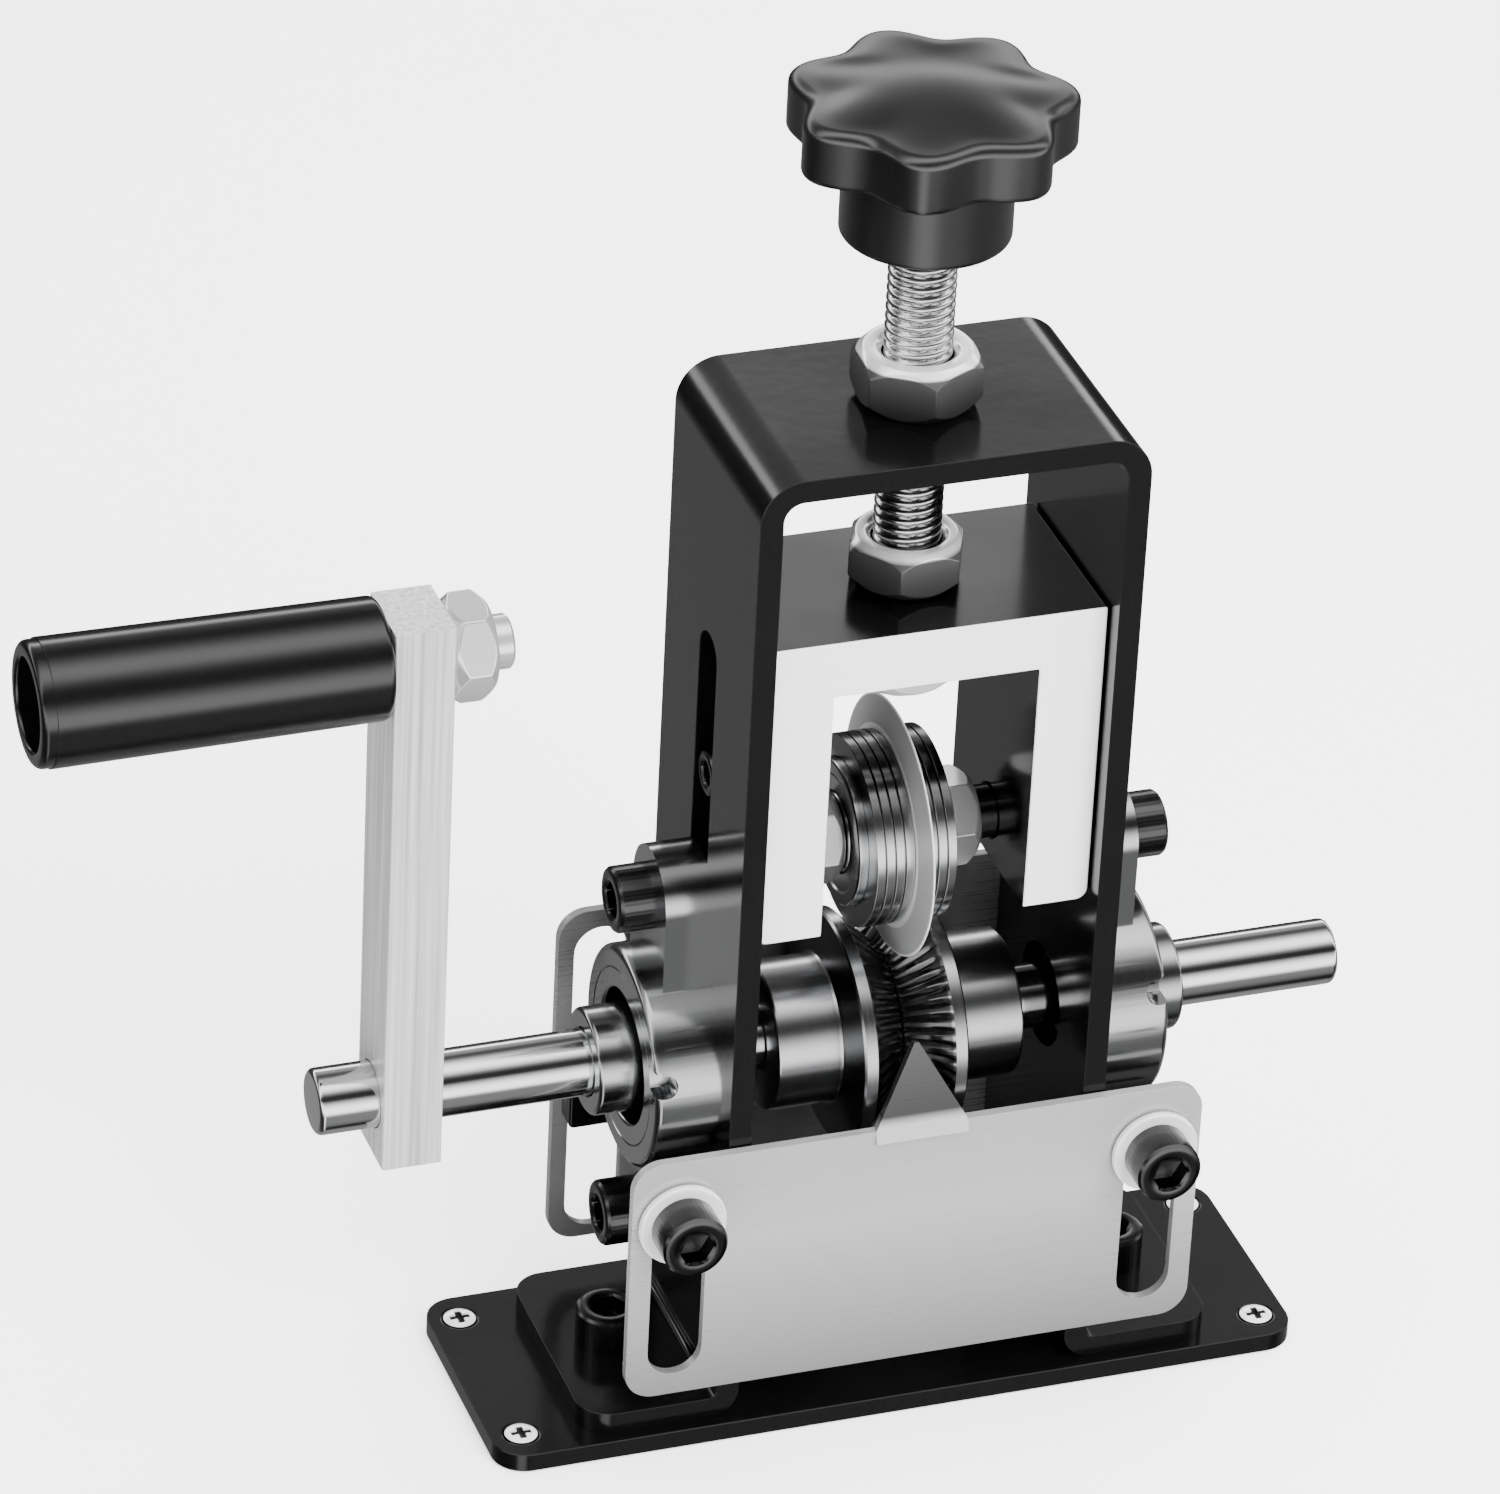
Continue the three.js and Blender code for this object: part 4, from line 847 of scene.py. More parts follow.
@dataclass
class BasePlate:
    """The base plate and the four wood screws that hold it to the bench."""

    length: float = 126.8
    depth: float = 42.0
    thickness: float = 3.0
    corner: float = 5.0
    inset_x: float = 4.8
    inset_y: float = 5.6
    head: float = 5.0
    recess: tuple[float, float] = (1.1, 3.2)

    def screw(self, x: float, y: float) -> Skin:
        """A crosshead screw's dome and shank.

        Args:
            x: Where it stands.
            y: Where it stands.

        Returns:
            The skin.
        """
        top, head = self.thickness, self.head / 2
        profile = np.array([(0, 0.3), (1.2, 0.3), (1.2, top - 1.4), (head - 0.05, top - 0.12), (head, top),
                            (head - 0.12, top + 0.1), (head * 0.72, top + 0.26), (head * 0.4, top + 0.36),
                            (0, top + 0.4)])
        return turned(profile, Axis.Z, (x, y, 0), closed=False, sides=72)

    def cross(self, x: float, y: float) -> list[Skin]:
        """The two arms of a screw's cross recess, narrower below than above.

        Args:
            x: Where the screw stands.
            y: Where the screw stands.

        Returns:
            The two arms as cutting shapes.
        """
        arms = []
        for width, reach in (self.recess, self.recess[::-1]):
            arm = plate_outline(width, -reach / 2, reach / 2, 0.2)
            points = np.stack([Axis.Z.place(np.full(len(arm), height), *(arm * share).T, (x, y, 0))
                               for height, share in ((2.3, 0.9), (4.5, 1.1))])
            arms.append(grid_skin(points, wrap_rows=False, caps=True))
        return arms

    def build(self, shop: Workshop) -> None:
        """Makes the plate and its screws.

        Args:
            shop: Makes the pieces.
        """
        outline = plate_outline(self.length, -self.depth / 2, self.depth / 2, self.corner)
        reach_x, reach_y = self.length / 2 - self.inset_x, self.depth / 2 - self.inset_y
        spots = [(f"{end}_{side}", heading * reach_x, facing * reach_y)
                 for end, facing in ENDS for side, heading in SIDES]
        hole = np.array([(0, -1.0), (1.5, -1.0), (1.5, 1.6), (2.85, 3.0), (2.85, 4.0), (0, 4.0)])
        cuts = [turned(hole, Axis.Z, (x, y, 0), closed=False, sides=48) for _, x, y in spots]
        shop.add("base_plate", pushed(outline, Axis.Z, 0, self.thickness), bevel=0.6, cuts=cuts)
        # The heads' colour is painted near black at the plate's top face: a painted shadow ring round the
        # foot of each head
        head = replace(FINISHES["zinc"], colour=(0.92, 0.92, 0.91), metallic=0.3,
                       painted_light_ramp=((0, 0.03), (3.02, 0.03), (3.08, 1.0), (3.5, 1.0)))
        for name, x, y in spots:
            shop.add(f"base_screw_{name}", self.screw(x, y), head, cuts=self.cross(x, y), sharp=40)


@dataclass
class Frame:
    """The bent bracket, the bolts in its feet and the nut that the lead screw runs in."""

    leg_inner: float = 25.9
    foot_reach: float = 49.9
    base_top: float = 3.0
    foot_top: float = 6.5
    ceiling: float = 158.7
    top: float = 162.2
    depth: float = 38.0
    top_radius: float = 6.5
    foot_corner: float = 5.0
    slot_width: float = 7.6
    slot_bottom: float = 86.6
    slot_top: float = 127.6
    window: float = 8.0
    bolt_length: float = 6.2
    nut: float = 17.0
    nut_height: float = 8.5
    nut_turn: float = 27.0
    foot_bolt: float = 40.2

    def outline(self) -> Array:
        """The bent bar seen from the front: one thickness all the way, with round bends.

        Returns:
            The outline's points, as pairs.
        """
        right = [(self.foot_reach, self.base_top), (self.foot_reach, self.foot_top),
                 (LEG_OUTER, self.foot_top), (LEG_OUTER, self.top)]
        inner = [(self.leg_inner, self.ceiling), (self.leg_inner, self.base_top)]
        outer_left = [(-x, z) for x, z in reversed(right)]
        inner_left = [(-x, z) for x, z in reversed(inner)]
        corners = right + outer_left + inner_left + inner
        radii = [0, 0, 1.2, self.top_radius, self.top_radius, 1.2, 0, 0, 4.5, 3, 3, 4.5]
        return rounded(corners, radii, steps=14)

    def build(self, shop: Workshop) -> None:
        """Makes the bracket, its foot bolts and the lead nut.

        Args:
            shop: Makes the pieces.
        """
        half, reach, spare = self.depth / 2, LEG_OUTER + 3, 5
        plan = plate_outline(2 * self.foot_reach, -half, half, self.foot_corner)
        trims = [pushed(plan, Axis.Z, -spare, self.top + spare)]
        slot = slot_outline(self.slot_width, self.slot_bottom, self.slot_top)
        cuts = [pushed(slot, Axis.X, -reach, reach),
                bar(self.window, Axis.X, -reach, reach, SHAFT_LINE),
                bar(BOLT_HOLE, Axis.X, -reach, reach, (0, 0, SHAFT_HEIGHT - EAR_SPACING)),
                bar(ROD_HOLE, Axis.Z, self.ceiling - 3, self.top + 3)]
        bracket = pushed(self.outline(), Axis.Y, -half, half)
        shop.add("frame_bracket", bracket, bevel=0.55, cuts=cuts, trims=trims)
        for side, heading in SIDES:
            centre = (heading * self.foot_bolt, 0, 0)
            bolt = socket_screw(CAP_SCREW, Axis.Z, self.foot_top, 1, self.bolt_length, centre)
            shop.add(f"foot_bolt_{side}", bolt)
        # The lead nut's colour is painted near black on its sides, a little lighter towards the top, with the
        # top face left light: painted shade
        lead_nut_painted_shade = ((0, 0.015), (3, 0.04), (6, 0.07), (7.3, 0.09), (7.6, 1), (9, 1))
        painted_light_ramp = tuple((self.top + rise, shade) for rise, shade in lead_nut_painted_shade)
        polished = replace(FINISHES["zinc"], colour=(0.9, 0.9, 0.9), metallic=0.6, painted_light_ramp=painted_light_ramp)
        nut = hex_nut(self.nut, ROD_NUT_BORE, Axis.Z, self.top, self.top + self.nut_height, self.nut_turn)
        shop.add("lead_nut", nut, polished, bevel=0.18)


@dataclass
class PlateFixings:
    """The lugs on the frame's legs with the screws and washers that hold the guide plates."""

    height: float = 40.8
    reach: float = 13.1
    depth: float = 4.2
    tall: float = 12.0
    back: float = 19.0
    washer: float = 13.4
    washer_near: float = 21.1
    washer_far: float = 22.3
    screw_length: float = 7.2

    def build(self, shop: Workshop) -> None:
        """Makes the four lugs, washers and screws.

        Args:
            shop: Makes the pieces.
        """
        low, high = self.height - self.tall / 2, self.height + self.tall / 2
        bright = replace(FINISHES["zinc"], colour=(0.82, 0.82, 0.81), metallic=0.45)
        for end, facing in ENDS:
            for side, heading in SIDES:
                centre = (heading * LUG_SPREAD, 0, self.height)
                outline = plate_outline(self.reach, low, high, 0.8, heading * (LEG_OUTER + self.reach / 2))
                lug = pushed(outline, Axis.Y, facing * (self.back - self.depth), facing * self.back)
                hole = bar(BOLT_HOLE, Axis.Y, -THROUGH, THROUGH, centre)
                shop.add(f"plate_lug_{end}_{side}", lug, bevel=0.5, cuts=[hole])
                inner, outer, rim = facing * self.washer_near, facing * self.washer_far, self.washer / 2
                ring = rounded([(BOLT_HOLE, inner), (rim, inner), (rim, outer), (BOLT_HOLE, outer)],
                               [0.1, 0.35, 0.35, 0.1], steps=4)
                shop.add(f"plate_washer_{end}_{side}", turned(ring, Axis.Y, centre), bright)
                screw = socket_screw(CAP_SCREW, Axis.Y, outer, facing, self.screw_length, centre)
                shop.add(f"plate_screw_{end}_{side}", screw)


@dataclass
class BearingHousings:
    """The cast flange bearings on the outside of the legs, with their inserts and bolts."""

    flange: float = 7.3
    boss_reach: float = 10.6
    boss: float = 33.5
    ear: float = 7.6
    insert: float = 13.25
    mouth: float = 10.2
    notch: float = 1.7
    notch_flare: float = 2.4
    notch_turns: tuple[float, float] = (15.0, 26.0)
    rim: float = 5.2
    insert_near: float = 30.5
    insert_far: float = 39.95
    collar: float = 16.2
    collar_end: float = 45.8
    shaft: float = 10.0
    bolt_length: float = 10.5

    def outline(self) -> Array:
        """Two straight ears on a round boss, which they meet at arccos(ear radius / boss radius).

        Returns:
            The outline's points, as pairs.
        """
        boss = self.boss / 2
        meet = math.degrees(math.acos(self.ear / boss))
        return np.concatenate([
            arc((0, 0), boss, -meet, meet, 30),
            arc((0, EAR_SPACING), self.ear, 0, 180, 24),
            arc((0, 0), boss, 180 - meet, 180 + meet, 30),
            arc((0, -EAR_SPACING), self.ear, 180, 360, 24),
        ])

    def build(self, shop: Workshop) -> None:
        """Makes both housings with their rings, collars and bolts.

        Args:
            shop: Makes the pieces.
        """
        boss, back, top = self.boss / 2, LEG_OUTER, LEG_OUTER + self.flange
        face = back + self.boss_reach
        cast = Metal((0.42, 0.425, 0.43), 0.15, grain=Grain.ROUND_X, centre=SHAFT_LINE, grain_depth=0.04,
                     contrast=0.08)
        throat, seat, ledge = self.collar / 2 + 0.4, self.insert + 0.05, back + 0.8
        profile = rounded([(0, back), (boss, back), (boss, face), (0, face)], [0, 0, 1.1, 0], closed=False)
        cavity = np.array([(0, back - 2), (throat, back - 2), (throat, ledge), (seat, ledge),
                           (seat, face - 0.2), (seat + 0.2, face), (seat + 0.2, face + 2), (0, face + 2)])
        keyhole = np.concatenate([arc((1.65, 0), self.notch, 90, -90, 40),
                                  [(-1, -self.notch), (-1, self.notch_flare), (0.9, self.notch)]])
        near, far, collar, bore = self.insert_near, self.insert_far, self.collar / 2, self.shaft / 2 + 0.15
        ring = rounded([(self.mouth, near), (self.insert, near), (self.insert, far), (self.mouth, far)],
                       [0, 0, 0.06, 0.5], steps=4)
        sleeve = rounded([(bore, near), (collar, near), (collar, self.collar_end), (bore, self.collar_end)],
                         [0, 0.2, 0.7, 0.4])
        ears = (("upper", EAR_SPACING), ("lower", -EAR_SPACING))
        for (side, heading), notch_turn in zip(SIDES, self.notch_turns):
            plate = pushed(self.outline(), Axis.X, heading * back, heading * top, SHAFT_LINE)
            core = turned(profile * [1, heading], Axis.X, SHAFT_LINE, closed=False, sides=120)
            rise = boss * math.sin(math.radians(notch_turn))
            cuts = [pushed(keyhole * [-heading, 1] + [heading * face, 0], Axis.Y, -boss - 2, self.rim - boss,
                           (0, 0, SHAFT_HEIGHT + rise))]
            cuts += [bar(BOLT_HOLE, Axis.X, heading * 20, heading * 45, (0, 0, SHAFT_HEIGHT + ear))
                     for _, ear in reversed(ears)]
            cuts.append(turned(cavity * [1, heading], Axis.X, SHAFT_LINE, closed=False, sides=118))
            shop.add(f"bearing_housing_{side}", plate, cast, bevel=0.6, cuts=cuts, joins=[core])
            shop.add(f"bearing_outer_ring_{side}", turned(ring * [1, heading], Axis.X, SHAFT_LINE, sides=120),
                     cast)
            shop.add(f"bearing_collar_{side}", turned(sleeve * [1, heading], Axis.X, SHAFT_LINE), cast)
            for end, ear in ears:
                bolt_line = (0, 0, SHAFT_HEIGHT + ear)
                bolt = socket_screw(CAP_SCREW, Axis.X, heading * top, heading, self.bolt_length, bolt_line)
                shop.add(f"housing_bolt_{side}_{end}", bolt)


@dataclass
class DriveShaft:
    """The shaft and the two toothed rollers that pull the cable."""

    radius: float = 5.0
    left_end: float = -87.4
    right_end: float = 72.0
    hub: float = 11.2
    hub_end: float = 19.2
    hub_start: float = 9.2
    rim: float = 17.7
    rim_outer: float = 8.1
    rim_inner: float = 6.1
    groove: float = 11.75
    meeting: float = 0.15
    teeth: int = 48
    tooth_share: float = 0.62
    tooth_depth: float = 0.55
    grub: float = 5.0
    grub_seat: float = 5.3
    grub_end: float = 10.9
    grub_hole: float = 2.8

    def roller(self, heading: int) -> Skin:
        """One roller: hub, rim and a cone with radial grooves.

        The rows between the meeting face and the rim sink along the cone's normal by the groove's
        depth, times 1 - |place across the groove| / half its width, where that is positive. The
        grooves run out towards the rim, by 1 - share to the sixth power.

        Args:
            heading: The side's sign.

        Returns:
            The skin.
        """
        angle = np.linspace(0, FULL_TURN, self.teeth * 12, endpoint=False)
        bore = self.radius + 0.15
        share = np.linspace(0, 1, 11)
        radius = self.groove + (self.rim - self.groove) * share
        along = self.meeting + (self.rim_inner - self.meeting) * share
        phase = np.abs((angle * self.teeth / FULL_TURN + 0.5) % 1 - 0.5)
        groove = np.clip(1 - phase / (self.tooth_share / 2), 0, 1)
        sink = self.tooth_depth * groove[None, :] * (1 - share[:, None] ** 6)
        slope = math.atan2(self.rim - self.groove, self.rim_inner - self.meeting)
        cone_radius = radius[:, None] - sink * math.cos(slope)
        cone_along = along[:, None] + sink * math.sin(slope)
        rows = [(bore, self.meeting), (self.groove - 1.0, self.meeting)]
        rows += list(zip(cone_radius, cone_along))
        rows += [(self.rim, self.rim_inner + 0.15), (self.rim, self.rim_outer - 0.3),
                 (self.rim - 0.3, self.rim_outer), (self.hub + 0.8, self.hub_start - 0.1),
                 (self.hub + 0.15, self.hub_start + 0.1), (self.hub, self.hub_start + 0.6),
                 (self.hub, self.hub_end - 0.6), (self.hub - 0.2, self.hub_end - 0.15),
                 (self.hub - 0.6, self.hub_end), (bore + 0.5, self.hub_end), (bore, self.hub_end - 0.5)]
        return swept_rows([(radius, heading * along) for radius, along in rows], angle, Axis.X, SHAFT_LINE,
                          closed=True)

    def build(self, shop: Workshop) -> None:
        """Makes the shaft, the rollers and their grub screws.

        Args:
            shop: Makes the pieces.
        """
        corners = [(0, self.left_end), (self.radius, self.left_end), (self.radius, self.right_end),
                   (0, self.right_end)]
        profile = rounded(corners, [0, 0.9, 0.9, 0], closed=False, steps=4)
        shop.add("drive_shaft", turned(profile, Axis.X, SHAFT_LINE, closed=False))
        middle = (self.hub_start + self.hub_end) / 2
        # The rollers' colour is painted darker on the cones and outer flanks, between radii 11.7 and 17.2 mm:
        # painted shade
        steel = replace(FINISHES["dark_steel"], painted_light_by_radius=True,
                        painted_light_ramp=((5, 1.0), (11.3, 1.0), (11.7, 0.3), (17.2, 0.3), (17.5, 1.0), (18, 1.0)))
        for side, heading in SIDES:
            seat = (heading * middle, 0, SHAFT_HEIGHT)
            hole = bar(self.grub_hole, Axis.Y, 0, 20, seat)
            shop.add(f"feed_roller_{side}", self.roller(heading), steel, cuts=[hole])
            grub = grub_screw(self.grub, Axis.Y, self.grub_seat, self.grub_end, seat)
            shop.add(f"roller_grub_screw_{side}", grub)


@dataclass
class Crank:
    """The crank arm with its set screw, and the grip on its bolt and nut."""

    near: float = 69.4
    far: float = 78.4
    depth: float = 13.0
    low: float = 47.6
    top: float = 138.0
    grip_height: float = 131.0
    grip_near: float = 78.7
    grip_far: float = 130.2
    grip_end: float = 9.4
    grip_root: float = 9.0
    lip: float = 2.1
    socket: float = 6.8
    socket_floor: float = 106.2
    bolt_end: float = 59.7
    shaft_hole: float = 5.15
    bolt_hole: float = 4.3
    screw_hole: float = 2.3
    screw: float = 4.0
    screw_inner: float = 51.7
    screw_outer: float = 47.9
    nut: float = 14.0
    nut_height: float = 6.5
    nut_turn: float = 4.3

    def grip_profile(self) -> Array:
        """The grip's loop: a slim taper, a rolled rim set in by a hair, and the bolt's socket.

        Returns:
            The profile, as pairs of radius and place.
        """
        near, far, floor = -self.grip_near, -self.grip_far, -self.socket_floor
        rim, lip = self.grip_end - 0.2, far + self.lip
        corners = [(self.bolt_hole, near), (self.grip_root, near), (self.grip_end, lip), (rim, lip),
                   (rim, far), (self.socket, far), (self.socket, floor), (self.bolt_hole, floor)]
        return rounded(corners, [0.1, 1.0, 0.12, 0, self.lip - 0.1, 0.5, 0.5, 0.1], steps=8)

    def build(self, shop: Workshop) -> None:
        """Makes the arm, its screw and the grip.

        Args:
            shop: Makes the pieces.
        """
        middle = -(self.near + self.far) / 2
        grip_line, screw_line = (0, 0, self.grip_height), (middle, 0, 0)
        outline = plate_outline(self.far - self.near, -self.depth / 2, self.depth / 2, 0.35, middle)
        across = (-90, -60)
        cuts = [bar(self.shaft_hole, Axis.X, *across, SHAFT_LINE),
                bar(self.bolt_hole, Axis.X, *across, grip_line),
                bar(self.screw_hole, Axis.Z, self.low - 3, SHAFT_HEIGHT - 3, screw_line)]
        shop.add("crank_arm", pushed(outline, Axis.Z, self.low, self.top), bevel=0.3, cuts=cuts)
        set_screw = grub_screw(self.screw, Axis.Z, self.screw_inner, self.screw_outer, screw_line)
        shop.add("arm_set_screw", set_screw)
        bolt = SocketScrewSizes(diameter=8, head_diameter=13, head_height=8, socket=6, socket_depth=4,
                                edge=0.8, ribs=48, rib_depth=0.1)
        seat = self.socket_floor + 0.3
        plated = replace(FINISHES["zinc"], colour=(0.76, 0.76, 0.76), metallic=0.8)
        shop.add("grip_bolt", socket_screw(bolt, Axis.X, -seat, -1, seat - self.bolt_end, grip_line), plated)
        nut = hex_nut(self.nut, AXLE_NUT_BORE, Axis.X, -self.near, self.nut_height - self.near, self.nut_turn,
                      grip_line)
        shop.add("grip_nut", nut, plated, bevel=0.2)
        shop.add("grip", turned(self.grip_profile(), Axis.X, grip_line, sides=120))


@dataclass
class Carriage:
    """The upturned U block that slides in the frame, with its guide pins."""

    half_width: float = 25.6
    inner: float = 15.6
    bottom: float = 83.4
    top: float = 132.8
    ceiling: float = 123.8
    depth: float = 31.4
    corner: float = 1.8
    pin_height: float = 104.0
    pin_length: float = 7.0
    axle_hole: float = 4.2

    def build(self, shop: Workshop) -> None:
        """Makes the block and its pins.

        Args:
            shop: Makes the pieces.
        """
        half, inner = self.half_width, self.inner
        corners = [(inner, self.bottom), (half, self.bottom), (half, self.top), (-half, self.top),
                   (-half, self.bottom), (-inner, self.bottom), (-inner, self.ceiling), (inner, self.ceiling)]
        outline = rounded(corners, [0, self.corner, 0, 0, self.corner, 0, 0, 0], steps=8)
        cuts = [bar(self.axle_hole, Axis.X, -THROUGH, THROUGH, BLADE_LINE),
                bar(ROD_HOLE, Axis.Z, self.ceiling - 3, self.top + 3)]
        block = pushed(outline, Axis.Y, -self.depth / 2, self.depth / 2)
        shop.add("carriage_block", block, bevel=0.35, cuts=cuts)
        pin = SocketScrewSizes(diameter=4, head_diameter=7, head_height=3.4, socket=3.5, socket_depth=1.7,
                               edge=0.4, ribs=32, rib_depth=0.1)
        for side, heading in SIDES:
            centre = (0, 0, self.pin_height)
            skin = socket_screw(pin, Axis.X, heading * half, heading, self.pin_length, centre)
            shop.add(f"guide_pin_{side}", skin)


@dataclass
class BladeStack:
    """The round blade between its spacer washers, on two bearings, an axle and two nuts."""

    blade: float = 19.6
    bevel: float = 15.2
    washer: float = 14.4
    bore: float = 11.15
    thickness: float = 1.5
    left_count: int = 4
    right_count: int = 3
    bearing: float = 11.0
    left_face: float = -8.5
    middle: float = -1.5
    right_face: float = 5.5
    hub: float = 1.0
    rim: float = 0.9
    groove: float = 0.09
    axle: float = 4.0
    axle_end: float = 25.3
    nut: float = 13.0
    race_bore: float = 4.3
    race: float = 6.0
    shield: float = 6.3
    cup: float = 9.0
    bearing_gap: float = 0.15

    def washers(self, heading: int, count: int) -> Skin:
        """A stack of washers with rounded rims, as one closed profile turned about the axle.

        Args:
            heading: The side's sign.
            count: How many washers.

        Returns:
            The skin.
        """
        corners, radii = [(self.bore, self.hub)], [0.0]
        for washer in range(count):
            start = self.hub + washer * self.thickness
            end = start + self.thickness
            near, far, root = start + self.groove, end - self.groove, self.washer - self.rim
            corners += [(root, near), (self.washer, near), (self.washer, far), (root, far)]
            radii += [0, 0.14, 0.14, 0]
        corners.append((self.bore, self.hub + count * self.thickness))
        radii.append(0.0)
        return turned(rounded(corners, radii, steps=4) * [1, heading], Axis.X, BLADE_LINE)

    def build(self, shop: Workshop) -> None:
        """Makes the blade and everything on its axle.

        Args:
            shop: Makes the pieces.
        """
        # The turned steel's colour is painted darker above 100 mm: painted shade on the washers' tops inside
        # the carriage
        turned_steel_shaded_top = Metal((0.54, 0.545, 0.55), 0.18, grain=Grain.ROUND_X, centre=BLADE_LINE,
                             grain_depth=0.03, contrast=0.06,
                             painted_light_ramp=((70, 1.0), (99, 1.0), (101.5, 0.25), (110, 0.25)))
        near_edge, half_edge, hub = self.blade - 0.02, 0.07, self.hub
        edge = [(self.bore, -hub), (self.bevel, -hub), (near_edge, -half_edge), (self.blade, 0),
                (near_edge, half_edge), (self.bevel, hub), (self.bore, hub)]
        # The blade's colour is painted darker on its bevel and lighter on its very edge: painted shade and a
        # painted highlight
        blade_steel_painted_light = replace(FINISHES["blade_steel"], painted_light_by_radius=True,
                         painted_light_ramp=((10, 1.0), (15.1, 1.0), (15.3, 0.45), (19.2, 0.5), (19.4, 1.2), (20, 1.2)))
        shop.add("blade", turned(np.array(edge), Axis.X, BLADE_LINE, sides=180), blade_steel_painted_light, sharp=8)
        for (side, heading), count in zip(SIDES, (self.left_count, self.right_count)):
            shop.add(f"spacer_washers_{side}", self.washers(heading, count), turned_steel_shaded_top)
        dull = replace(turned_steel_shaded_top, colour=(0.07, 0.07, 0.072), painted_light_ramp=())
        axle = rounded([(0, -self.axle_end), (self.axle, -self.axle_end), (self.axle, self.axle_end),
                        (0, self.axle_end)], [0, 0.6, 0.6, 0], closed=False)
        shop.add("blade_axle", turned(axle, Axis.X, BLADE_LINE, closed=False), dull)
        plated = replace(FINISHES["zinc"], colour=(0.42, 0.42, 0.42), metallic=0.86)
        for side, start, end, turn in (("left", -15.3, -8.8, 7.4), ("right", 5.8, 12.3, 52.7)):
            nut = hex_nut(self.nut, AXLE_NUT_BORE, Axis.X, start, end, turn, BLADE_LINE)
            shop.add(f"axle_nut_{side}", nut, plated, bevel=0.14)
        for (side, away), outer in zip(SIDES, (self.left_face, self.right_face)):
            inner = self.middle + away * self.bearing_gap
            race = rounded([(self.race_bore, inner), (self.race, inner), (self.race, outer),
                            (self.race_bore, outer)], [0.1, 0.1, 0.4, 0.3], steps=3)
            shop.add(f"blade_bearing_inner_ring_{side}", turned(race, Axis.X, BLADE_LINE), turned_steel_shaded_top)
            floor, shield, cup = outer - away * 0.8, self.shield, self.cup
            ring = [(shield, outer - away * 0.25), (cup - 0.4, outer - away * 0.2),
                    (cup - 0.1, outer - away * 0.4), (cup + 0.1, outer), (self.bearing, outer),
                    (self.bearing, inner), (cup, inner), (cup, floor), (shield, floor)]
            profile = rounded(ring, [0, 0.1, 0.1, 0.1, 0.4, 0.1, 0, 0, 0], steps=3)
            shop.add(f"blade_bearing_outer_ring_{side}", turned(profile, Axis.X, BLADE_LINE))


